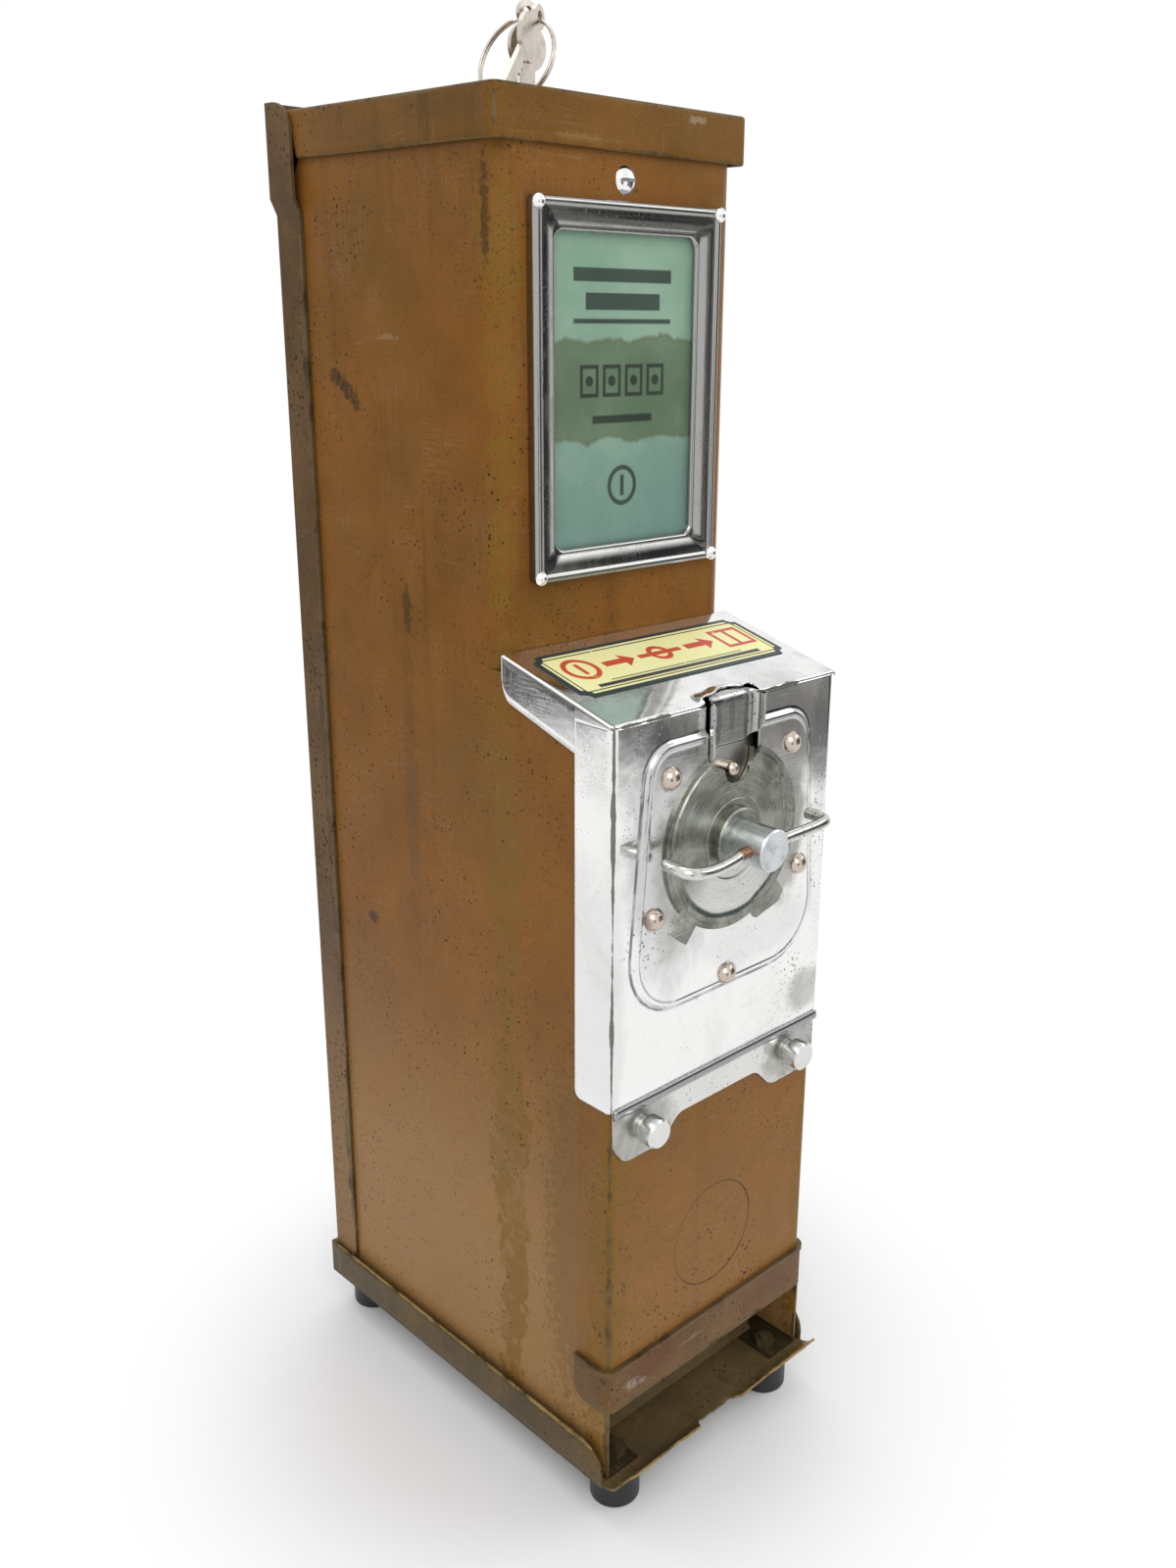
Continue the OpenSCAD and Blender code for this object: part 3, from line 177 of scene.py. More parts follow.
def ring_shape(r, n=20):
    """A circle of radius r as an outline of n points, anticlockwise."""
    a = np.linspace(0, 2 * np.pi, n, endpoint=False)
    return np.stack([r * np.cos(a), r * np.sin(a)], -1)


def capped(points, faces, rows, cols):
    """Closes both ends of a swept tube with one fan each."""
    faces = faces.tolist()
    n = len(points)
    first, last = points[:cols].mean(0), points[-cols:].mean(0)
    points = np.vstack([points, first, last])
    k = np.arange(cols)
    faces += np.stack([k, (k + 1) % cols, np.full(cols, n)], -1).tolist()
    base = (rows - 1) * cols
    faces += np.stack([base + (k + 1) % cols, base + k, np.full(cols, n + 1)], -1).tolist()
    return points, faces


def rounded_path(corners, radii, step=6):
    """An open path with each inner corner replaced by an arc of its radius."""
    out = [np.array(corners[0], float)]
    for a, b, c, r in zip(corners[:-2], corners[1:-1], corners[2:], radii):
        a, b, c = (np.array(p, float) for p in (a, b, c))
        u, v = (a - b) / np.linalg.norm(a - b), (c - b) / np.linalg.norm(c - b)
        half = math.acos(float(np.clip(u @ v, -1, 1))) / 2
        reach = r / math.tan(half)
        centre = b + (u + v) / np.linalg.norm(u + v) * r / math.sin(half)
        p, q = b + u * reach - centre, b + v * reach - centre
        for t in np.linspace(0, 1, step + 1):
            w = math.sin((1 - t) * (math.pi - 2 * half)), math.sin(t * (math.pi - 2 * half))
            out.append(centre + (w[0] * p + w[1] * q) / math.sin(math.pi - 2 * half))
    out.append(np.array(corners[-1], float))
    return np.array(out)


def resample(path, count):
    """Points at even distances along a path."""
    path = np.asarray(path, float)
    d = np.r_[0, np.cumsum(np.linalg.norm(np.diff(path, axis=0), axis=1))]
    s = np.linspace(0, d[-1], count)
    return np.stack([np.interp(s, d, path[:, k]) for k in range(path.shape[1])], -1)


def edge_distance(px, pz, outline):
    """Distance to a closed outline, counted positive inside. The side is told by
    how many outline edges lie straight to the right of the point."""
    a = np.asarray(outline, float)
    b = np.roll(a, -1, 0)
    p = np.stack([px, pz], -1)[..., None, :]
    ab = b - a
    t = np.clip(((p - a) * ab).sum(-1) / (ab * ab).sum(-1), 0, 1)
    d = np.linalg.norm(p - (a + t[..., None] * ab), axis=-1).min(-1)
    x, z = px[..., None], pz[..., None]
    crosses = (a[:, 1] > z) != (b[:, 1] > z)
    safe = np.where(b[:, 1] == a[:, 1], 1.0, b[:, 1] - a[:, 1])
    right = x < (b[:, 0] - a[:, 0]) * (z - a[:, 1]) / safe + a[:, 0]
    inside = (crosses & right).sum(-1) % 2 == 1
    return np.where(inside, d, -d)


def smooth_step(t):
    t = np.clip(t, 0, 1)
    return t * t * (3 - 2 * t)


def waves(x, seed, scale, count=5):
    """A smooth random line: a sum of sines with random phases and falling heights."""
    rng = np.random.default_rng(seed)
    k = np.arange(1, count + 1)
    phase = rng.uniform(0, 2 * np.pi, count)
    return (np.sin(np.asarray(x)[..., None] / scale * k + phase) / k ** 0.7).sum(-1) / 1.8


# ------------------------------------------------------------------ shader helpers

class Tree:
    """Short calls for building one node tree."""

    def __init__(self, tree):
        self.tree = tree

    def add(self, kind, inputs=None, **props):
        n = self.tree.nodes.new(kind)
        for k, v in props.items():
            setattr(n, k, v)
        for k, v in (inputs or {}).items():
            if isinstance(v, bpy.types.NodeSocket):
                self.tree.links.new(v, n.inputs[k])
            elif v is not None:
                n.inputs[k].default_value = v
        return n

    def math(self, op, a, b=None):
        return self.add("ShaderNodeMath", {0: a, 1: b}, operation=op).outputs[0]

    def join(self, op, values):
        """One value from several, joined from the left."""
        total = values[0]
        for value in values[1:]:
            total = self.math(op, total, value)
        return total

    def times(self, *values):
        return self.join("MULTIPLY", values)

    def plus(self, *values):
        return self.join("ADD", values)

    def minus(self, *values):
        return self.join("SUBTRACT", values)

    def most(self, *values):
        return self.join("MAXIMUM", values)

    def size(self, value):
        return self.math("ABSOLUTE", value)

    def off(self, value, place):
        """How far a value is from a place, on either side."""
        return self.size(self.minus(value, place))

    def length(self, a, b):
        return self.math("SQRT", self.plus(self.times(a, a), self.times(b, b)))

    def mix(self, fac, a, b):
        """Colour a turned into colour b by a mask. A fixed colour is given by three values."""
        a, b = (v if isinstance(v, bpy.types.NodeSocket) else (*v, 1) for v in (a, b))
        return self.add("ShaderNodeMix", {0: fac, 6: a, 7: b}, data_type="RGBA").outputs[2]

    def stain(self, colour, mask, amount, shade):
        return self.mix(self.times(mask, amount), colour, shade)

    def blend(self, fac, a, b):
        return self.add("ShaderNodeMix", {0: fac, 2: a, 3: b}, data_type="FLOAT").outputs[0]

    def coords(self):
        return self.add("ShaderNodeTexCoord").outputs["Object"]

    def split(self, vector):
        return self.add("ShaderNodeSeparateXYZ", {0: vector}).outputs

    def moved(self, vector, shift=(0, 0, 0), turn=(0, 0, 0), scale=(1, 1, 1)):
        return self.add("ShaderNodeMapping", {"Vector": vector, "Location": shift,
                                              "Rotation": turn, "Scale": scale}).outputs[0]

    def noise(self, vector, scale, detail=3.0, rough=0.55, warp=0.0):
        return self.add("ShaderNodeTexNoise", {"Vector": vector, "Scale": scale, "Detail": detail,
                                               "Roughness": rough, "Distortion": warp}).outputs[0]

    def span(self, value, lo, hi, a=0.0, b=1.0):
        n = self.add("ShaderNodeMapRange", {"Value": value, "From Min": lo, "From Max": hi,
                                            "To Min": a, "To Max": b},
                     interpolation_type="SMOOTHSTEP", clamp=True)
        return n.outputs[0]

    def shades(self, value, stops):
        n = self.add("ShaderNodeValToRGB", {0: value})
        ramp = n.color_ramp
        while len(ramp.elements) < len(stops):
            ramp.elements.new(0.5)
        for e, (pos, col) in zip(ramp.elements, stops):
            e.position = pos
            e.color = (*col, 1)
        return n.outputs[0]

    def bump(self, height, strength, distance):
        return self.add("ShaderNodeBump", {"Height": height, "Strength": strength,
                                           "Distance": distance}).outputs[0]

    def use(self, group, **values):
        n = self.add("ShaderNodeGroup")
        n.node_tree = group
        for k, v in values.items():
            socket = n.inputs[k.replace("_", " ")]
            if isinstance(v, bpy.types.NodeSocket):
                self.tree.links.new(v, socket)
            else:
                socket.default_value = v
        return n.outputs


def group(name, inputs, outputs):
    g = bpy.data.node_groups.new(name, "ShaderNodeTree")
    kinds = {"v": "NodeSocketVector", "f": "NodeSocketFloat"}
    for k, t, d in inputs:
        s = g.interface.new_socket(k, in_out="INPUT", socket_type=kinds[t])
        if d is not None:
            s.default_value = d
    for k in outputs:
        g.interface.new_socket(k, in_out="OUTPUT", socket_type="NodeSocketFloat")
    t = Tree(g)
    return g, t, t.add("NodeGroupInput").outputs, t.add("NodeGroupOutput").inputs


def speckle_group():
    """Small dark pits: cells whose centres are near, kept only where a slower noise is high."""
    g, t, i, o = group("pits", [("Vector", "v", None), ("Scale", "f", 400.0), ("Amount", "f", 0.5)],
                       ["Mask"])
    vec = i["Vector"]
    near = t.add("ShaderNodeTexVoronoi", {"Vector": vec, "Scale": i["Scale"]}).outputs["Distance"]
    size = t.noise(vec, 160.0, 2.0)
    spread = t.noise(vec, 22.0, 3.0)
    reach = t.times(t.plus(t.minus(size, 0.62), i["Amount"]), 0.42)
    dots = t.span(t.minus(near, reach), 0.0, -0.12)
    t.tree.links.new(t.times(dots, t.span(spread, 0.35, 0.62)), o["Mask"])
    return g


def scratch_group():
    """Thin scratches in three directions: noise that is stretched far along one axis, with
    only its thin crests kept, and broken up by a slower noise."""
    g, t, i, o = group("scratches", [("Vector", "v", None), ("Scale", "f", 1.0),
                                     ("Amount", "f", 0.5)], ["Mask"])
    masks = []
    for turn, stretch, seed in (((0.3, 0.5, 0.4), (900, 900, 30), 0.0),
                                ((1.1, -0.4, 0.9), (25, 700, 700), 3.1),
                                ((0.2, 1.3, -0.7), (600, 40, 600), 7.7)):
        vec = t.moved(i["Vector"], (seed, seed, seed), turn, stretch)
        vec = t.add("ShaderNodeVectorMath", {0: vec, 3: i["Scale"]}, operation="SCALE").outputs[0]
        line = t.noise(vec, 1.0, 2.0, 0.5, 0.6)
        crest = t.span(t.off(line, 0.5), 0.022, 0.0)
        gate = t.span(t.noise(t.moved(i["Vector"], (seed, 0, seed)), 45.0, 2.0), 0.5, 0.66)
        masks.append(t.times(crest, gate))
    both = t.most(masks[0], masks[1], masks[2])
    t.tree.links.new(t.times(both, i["Amount"]), o["Mask"])
    return g


def band_group():
    """A band along an edge, for worn paint, painted sheen and painted shade: full near it, gone beyond a
    width that a noise makes ragged.
    """
    g, t, i, o = group("edge_band", [("Vector", "v", None), ("Away", "f", 0.0),
                                     ("Width", "f", 0.002)], ["Mask"])
    coarse = t.noise(i["Vector"], 120.0, 4.0, 0.65)
    slow = t.noise(i["Vector"], 28.0, 2.0)
    rag = t.minus(t.plus(coarse, slow), 1.0)
    width = t.times(i["Width"], t.plus(1.0, t.times(rag, 4.0)))
    t.tree.links.new(t.math("GREATER_THAN", width, i["Away"]), o["Mask"])
    return g


PITS = speckle_group()
SCRATCHES = scratch_group()
EDGE_BAND = band_group()


def surface(name):
    """A new material with its tree helper, shader and object coordinates."""
    mat = bpy.data.materials.new(name)
    mat.use_nodes = True
    t = Tree(mat.node_tree)
    shader = mat.node_tree.nodes["Principled BSDF"]
    return mat, t, shader, t.coords()


def fill(t, shader, **values):
    for key, v in values.items():
        socket = shader.inputs[key.replace("_", " ")]
        if isinstance(v, bpy.types.NodeSocket):
            t.tree.links.new(v, socket)
        else:
            socket.default_value = v


def darker(colour, share):
    return tuple(share * c for c in colour)


# ------------------------------------------------------------------ painted steel

def edge_band_mask(t, vec, edges):
    """The strongest of several edge bands. Each edge is (axis, place, width), or
    (axis, place, axis, place, width) for the corner line where two faces meet. Sideways
    places stand for both sides."""
    xyz = list(t.split(vec))
    xyz[X] = t.size(xyz[X])
    bands = []
    for *places, width in edges:
        away = t.most(*(t.off(xyz[axis], place * MM) for axis, place in zip(places[::2], places[1::2])))
        bands.append(t.use(EDGE_BAND, Vector=vec, Away=away, Width=width * MM)[0])
    return t.most(*bands) if bands else 0.0


def zone(t, vec, flat, place, reach, coarse=90.0, ragged=1.1):
    """An oval patch with a ragged rim, in the plane of two coordinates."""
    da, db = (t.math("DIVIDE", t.minus(v, p * MM), r * MM) for v, p, r in zip(flat, place, reach))
    rim = t.times(t.minus(t.noise(vec, coarse, 5.0, 0.7), 0.5), ragged)
    return t.span(t.plus(t.length(da, db), rim), 1.15, 0.6)


def bronze_paint(name, base, dark, light, edges=(), pits=0.55, streaks=0.5, spots=(), corner_sheen=(),
                 pale_low=0.0, dark_below=None, plug=None, bare=(0.15, 0.10, 0.045)):
    """Aged bronze enamel: slow changes of tone, fine grain, downward streaks, dark pits,
    scratches, a painted olive-gold sheen along some rounded corners, a paler low part, a
    near-black part below a height, the dark joint of a round plug, single spots, and worn edges
    that show dull steel. A spot is (axis, place, height, reach, reach upwards, shade, amount)."""
    mat, t, shader, vec = surface(name)
    tone = t.noise(vec, 9.0, 5.0, 0.6, 0.4)
    cloud = t.noise(t.moved(vec, (2, 1, 5)), 38.0, 4.0, 0.6)
    colour = t.shades(t.blend(0.4, tone, cloud), [(0.33, dark), (0.5, base), (0.68, light)])
    streak = t.noise(t.moved(vec, (1, 3, 0), (0, 0, 0), (85, 85, 5)), 1.0, 4.0, 0.6, 0.3)
    sooty = (dark[0] * 0.55, dark[1] * 0.62, dark[2] * 0.9)
    colour = t.stain(colour, t.span(streak, 0.55, 0.75), streaks, sooty)
    olive = t.span(t.noise(t.moved(vec, (7, 2, 1)), 14.0, 4.0, 0.6), 0.52, 0.72)
    colour = t.stain(colour, olive, 0.35, (0.145, 0.085, 0.018))
    xyz = t.split(vec)
    if pale_low:
        colour = t.stain(colour, t.span(xyz[Z], 0.20, 0.07), pale_low, (0.34, 0.190, 0.072))
    grain = t.span(t.noise(vec, 1300.0, 3.0, 0.7), 0.38, 0.72)
    colour = t.stain(colour, grain, 0.30, darker(dark, 0.55))
    # A painted olive-gold sheen along the rounded upright corners.
    if corner_sheen:
        patchy = t.span(t.noise(vec, 150.0, 4.0, 0.7), 0.36, 0.56, 0.15, 0.75)
        colour = t.stain(colour, edge_band_mask(t, vec, corner_sheen), patchy, (0.185, 0.098, 0.013))
    # Near-black below a height.
    if dark_below:
        low = t.span(xyz[Z], (dark_below + 1.0) * MM, dark_below * MM)
        colour = t.mix(low, colour, (0.035, 0.027, 0.013))
    if plug:
        height, radius = plug
        far = t.length(xyz[X], t.minus(xyz[Z], height * MM))
        joint = t.span(t.off(far, radius * MM), 0.00045, 0.00020)
        broken = t.span(t.noise(vec, 60.0, 3.0), 0.30, 0.55, 0.10, 0.60)
        colour = t.stain(colour, joint, broken, (0.060, 0.034, 0.012))
    pit = t.use(PITS, Vector=vec, Scale=430.0, Amount=pits)[0]
    big_pit = t.use(PITS, Vector=t.moved(vec, (3, 3, 3)), Scale=210.0, Amount=pits * 0.55)[0]
    dusty = t.moved(vec, (9, 4, 2), (0.4, 0.1, 0.3), (1, 1, 0.6))
    dust = t.use(PITS, Vector=dusty, Scale=900.0, Amount=pits)[0]
    pit = t.most(pit, big_pit, t.times(dust, 0.7))
    colour = t.stain(colour, pit, 0.86, (0.020, 0.013, 0.007))
    scratch = t.use(SCRATCHES, Vector=vec, Scale=1.0, Amount=0.6)[0]
    colour = t.stain(colour, scratch, 0.5, (0.30, 0.20, 0.10))
    for axis, place, height, reach, reach_up, shade, amount in spots:
        mask = zone(t, vec, (xyz[axis], xyz[Z]), (place, height), (reach, reach_up), 560.0, 3.4)
        colour = t.stain(colour, mask, amount, shade)
    edge_mask = edge_band_mask(t, vec, edges)
    rusty = t.span(t.noise(vec, 75.0, 4.0, 0.7), 0.45, 0.7)
    colour = t.stain(colour, edge_mask, 0.8, t.mix(rusty, bare, (0.040, 0.026, 0.014)))
    rough = t.plus(t.span(cloud, 0.3, 0.7, 0.26, 0.40), t.times(pit, 0.3), t.times(edge_mask, 0.10))
    height = t.minus(t.noise(vec, 700.0, 2.0), t.times(pit, 1.6), t.times(edge_mask, 0.6), t.times(scratch, 0.6))
    fill(t, shader, Base_Color=colour, Roughness=rough, Metallic=t.times(edge_mask, 0.35),
         Normal=t.bump(height, 0.35, 0.00012))
    shader.inputs["Specular IOR Level"].default_value = 0.11
    return mat


# ------------------------------------------------------------------ metals

def bright_plate(name, base=(0.90, 0.90, 0.89), worn_and_reflection_spots=(), scratch=0.6, pits=0.5, haze=0.35,
                 edges=(), outline=None, pitted=(), dark_reflections_and_rust=(), shade=(0.5, 0.5, 0.5)):
    """Bright plating: smooth reflections, hazy patches, fine scratches, and clusters
    of dull pits where the plating has gone through. Worn spots turn it towards dull steel;
    on the hood's pad they also stand for painted grey reflection. Dark patches, wide and soft,
    turn it towards the shade colour: painted dark reflection on the hood and the coin channel,
    rust on the handle. The outline is a distance in millimetres that the mesh carries; its step
    is drawn with painted shade, a dark foot and a dark inner line. Edges get dark lines of
    painted shade. Patches are (x, height, reach sideways, reach upwards) and, where they
    differ in strength, an amount."""
    mat, t, shader, vec = surface(name)
    patch = t.noise(vec, 26.0, 5.0, 0.62, 0.5)
    haze_mask = t.times(t.span(patch, 0.48, 0.72), haze)
    lines = t.use(SCRATCHES, Vector=vec, Scale=1.0, Amount=scratch)[0]
    fine = t.use(SCRATCHES, Vector=t.moved(vec, (5, 1, 2), (0.7, 0.2, 1.0)), Scale=1.9, Amount=scratch)[0]
    lines = t.most(lines, t.times(fine, 0.7))
    pit = t.use(PITS, Vector=vec, Scale=650.0, Amount=pits)[0]
    worn = t.times(haze_mask, 0.3)
    xyz = t.split(vec)
    flat = (xyz[X], xyz[Z])
    # Spots turned towards dull steel grey: worn plating, and on the hood's pad also painted grey reflection.
    for x, z, wide, high, amount in worn_and_reflection_spots:
        worn = t.most(worn, t.times(zone(t, vec, flat, (x, z), (wide, high)), amount))
    for x, z, wide, high in pitted:
        dense = t.use(PITS, Vector=t.moved(vec, (1, 7, 4)), Scale=560.0, Amount=0.78)[0]
        pit = t.most(pit, t.times(dense, zone(t, vec, flat, (x, z), (wide, high))))
    grey = t.mix(t.span(t.noise(vec, 140.0, 4.0, 0.65), 0.35, 0.65), (0.30, 0.30, 0.27), (0.46, 0.45, 0.41))
    colour = t.mix(t.times(haze_mask, 0.5), base, darker(base, 0.74))
    # Dark patches: painted dark reflections on the hood and the coin channel, rust where the handle enters
    # the hub.
    for x, z, wide, high, amount in dark_reflections_and_rust:
        film = zone(t, t.moved(vec, scale=(1, 1, 0.5)), flat, (x, z), (wide, high), 42.0, 1.6)
        colour = t.stain(colour, film, amount, shade)
    colour = t.stain(colour, lines, 0.25, darker(base, 0.55))
    colour = t.mix(worn, colour, grey)
    # The pad's step gets painted shade: a dark line at its foot and a fainter dark line just inside it.
    if outline:
        away = t.add("ShaderNodeAttribute", attribute_name=outline).outputs["Fac"]
        foot = t.span(t.size(t.plus(away, 1.15)), 0.75, 0.25)
        inner = t.span(t.off(away, 1.75), 0.55, 0.15)
        broken = t.span(t.noise(vec, 75.0, 3.0, 0.6), 0.35, 0.6, 0.35, 1.0)
        line = t.times(t.most(foot, t.times(inner, 0.7)), broken)
        colour = t.stain(colour, line, 0.85, (0.10, 0.105, 0.11))
    colour = t.stain(colour, pit, 0.80, (0.085, 0.070, 0.05))
    # Edges: dark lines of painted shade along the hood's folds, at its hem, front corners and top bend; they
    # are also made rougher.
    if edges:
        edge_mask = edge_band_mask(t, vec, edges)
        colour = t.stain(colour, edge_mask, 0.8, (0.055, 0.045, 0.035))
        worn = t.most(worn, edge_mask)
    rough = t.most(t.plus(t.times(haze_mask, 0.22), 0.07), t.times(lines, 0.42),
                   t.times(worn, 0.46), t.times(pit, 0.6))
    height = t.minus(t.noise(vec, 55.0, 3.0), t.times(lines, 0.05), t.times(pit, 0.08))
    fill(t, shader, Base_Color=colour, Roughness=rough, Metallic=1.0, Normal=t.bump(height, 0.22, 0.0006))
    return mat


def turned_plate(name, light, dark, rough_lo=0.3, rough_hi=0.5, painted_bright_reflection=0.0):
    """Worn plate round the axis: rings of wear made from noise read along the radius,
    with crossing scratches and grime in the pits. Below the axis it may carry a painted
    bright reflection inside a thin crescent of painted shadow."""
    mat, t, shader, vec = surface(name)
    centred = t.moved(vec, (0, 0, -AXIS_Z * MM))
    xyz = t.split(centred)
    radius = t.length(xyz[X], xyz[Z])
    angle = t.math("ARCTAN2", xyz[Z], xyz[X])
    wander = t.times(t.noise(vec, 60.0, 2.0), 0.0012)
    polar = t.add("ShaderNodeCombineXYZ", {0: t.times(t.plus(radius, wander), 2600.0),
                                           1: t.times(angle, 1.4), 2: 0.0}).outputs[0]
    rings = t.noise(polar, 1.0, 4.0, 0.6, 0.15)
    lines = t.use(SCRATCHES, Vector=vec, Scale=1.3, Amount=0.9)[0]
    patch = t.noise(vec, 55.0, 5.0, 0.65, 0.6)
    pit = t.use(PITS, Vector=vec, Scale=700.0, Amount=0.6)[0]
    tone = t.blend(0.62, rings, patch)
    colour = t.mix(t.span(tone, 0.38, 0.62), dark, light)
    # Below the axis: a painted bright reflection inside the radius and a crescent of painted shadow at its
    # rim.
    if painted_bright_reflection:
        below = t.times(t.span(angle, -0.35, -1.0), t.span(angle, -2.85, -2.2))
        uneven = t.plus(radius, t.times(t.minus(t.noise(vec, 75.0, 3.0), 0.5), 0.0022))
        inside = t.times(t.span(uneven, (CRESCENT_R + 0.5) * MM, (CRESCENT_R - 0.5) * MM), below)
        colour = t.stain(colour, inside, painted_bright_reflection, (0.74, 0.75, 0.73))
        rim = t.span(t.off(uneven, (CRESCENT_R + 1.1) * MM), 0.0011, 0.0004)
        colour = t.stain(colour, t.times(rim, below), 0.9, (0.035, 0.055, 0.052))
    colour = t.stain(colour, lines, 0.7, (0.80, 0.79, 0.74))
    colour = t.stain(colour, pit, 0.7, (0.085, 0.075, 0.05))
    rough = t.plus(t.span(rings, 0.35, 0.65, rough_lo, rough_hi), t.times(pit, 0.2))
    height = t.plus(rings, t.times(patch, 0.6))
    fill(t, shader, Base_Color=colour, Roughness=rough, Metallic=1.0, Normal=t.bump(height, 0.35, 0.00012))
    return mat


def plain_metal(name, base, rough=0.35, stain=(0.12, 0.10, 0.08), amount=0.4):
    """Everyday metal: tone changes, stain in the hollows of a noise, and fine grain."""
    mat, t, shader, vec = surface(name)
    patch = t.noise(vec, 110.0, 5.0, 0.65, 0.3)
    fine = t.noise(vec, 900.0, 2.0)
    lines = t.use(SCRATCHES, Vector=vec, Scale=1.4, Amount=0.7)[0]
    colour = t.stain(base, t.span(patch, 0.5, 0.72), amount, stain)
    colour = t.stain(colour, lines, 0.4, tuple(min(1, 1.35 * c) for c in base))
    r = t.plus(t.span(patch, 0.3, 0.7, rough - 0.08, rough + 0.12), t.times(lines, 0.08))
    fill(t, shader, Base_Color=colour, Roughness=r, Metallic=1.0, Normal=t.bump(fine, 0.15, 0.00008))
    return mat


def black_rubber():
    """Dull black rubber with dust in its grain."""
    mat, t, shader, vec = surface("black_rubber")
    dust = t.span(t.noise(vec, 180.0, 4.0, 0.7), 0.5, 0.75)
    colour = t.stain((0.012, 0.012, 0.013), dust, 0.25, (0.09, 0.085, 0.08))
    fill(t, shader, Base_Color=colour, Roughness=t.span(dust, 0, 1, 0.42, 0.7),
         Normal=t.bump(t.noise(vec, 900.0, 3.0), 0.25, 0.00015))
    return mat


def window_glass():
    """Clear glass with a faint film that only the gloss shows. Light from the lamps and
    between dull surfaces goes straight through it, so the card behind is lit."""
    mat, t, shader, vec = surface("window_glass")
    film = t.span(t.noise(vec, 40.0, 4.0, 0.6), 0.35, 0.75, 0.0, 0.05)
    shader.inputs["Transmission Weight"].default_value = 1.0
    shader.inputs["IOR"].default_value = 1.45
    fill(t, shader, Base_Color=(0.95, 0.99, 0.97, 1), Roughness=film, Metallic=0.0)
    path = t.add("ShaderNodeLightPath").outputs
    straight = t.most(path["Is Shadow Ray"], path["Is Diffuse Ray"])
    clear = t.add("ShaderNodeBsdfTransparent").outputs[0]
    mixed = t.add("ShaderNodeMixShader", {0: straight, 1: shader.outputs[0], 2: clear}).outputs[0]
    t.tree.links.new(mixed, mat.node_tree.nodes["Material Output"].inputs["Surface"])
    return mat


def folder_card():
    """Cream card with faint fibres."""
    mat, t, shader, vec = surface("folder_card")
    fibre = t.noise(t.moved(vec, scale=(300, 300, 2500)), 1.0, 3.0)
    colour = t.mix(fibre, (0.62, 0.55, 0.38), (0.80, 0.74, 0.56))
    fill(t, shader, Base_Color=colour, Roughness=0.8, Normal=t.bump(fibre, 0.3, 0.0002))
    return mat


HOOD_SLOPE = math.radians(14.37)
LABEL_Y0, LABEL_Y1, LABEL_X = -55.9, -28.4, 46.5


def shape_masks(t, x, y):
    """Soft-edged marks in the plane of two coordinates, in metres: disc, ring, box."""
    soft = 0.00022

    def disc(cx, cy, r):
        dx = t.minus(x, cx * MM)
        dy = t.minus(y, cy * MM)
        d = t.length(dx, dy)
        return t.span(d, r * MM + soft, r * MM - soft)

    def ring(cx, cy, r, w):
        return t.minus(disc(cx, cy, r), disc(cx, cy, r - w))

    def box(x0, x1, y0, y1):
        sides = []
        for v, lo, hi in ((x, x0, x1), (y, y0, y1)):
            sides += [t.span(v, lo * MM - soft, lo * MM + soft), t.span(v, hi * MM + soft, hi * MM - soft)]
        return t.times(*sides)

    def arrow(x0, x1, cy, half):
        head = 5.0
        rise = t.off(y, cy * MM)
        left = t.times(t.minus(x1 * MM, x), 0.8)
        tip = t.times(t.span(t.minus(left, rise), -soft, soft),
                     t.span(x, (x1 - head) * MM - soft, (x1 - head) * MM + soft))
        return t.most(tip, box(x0, x1 - head + 0.5, cy - half, cy + half))

    return disc, ring, box, arrow


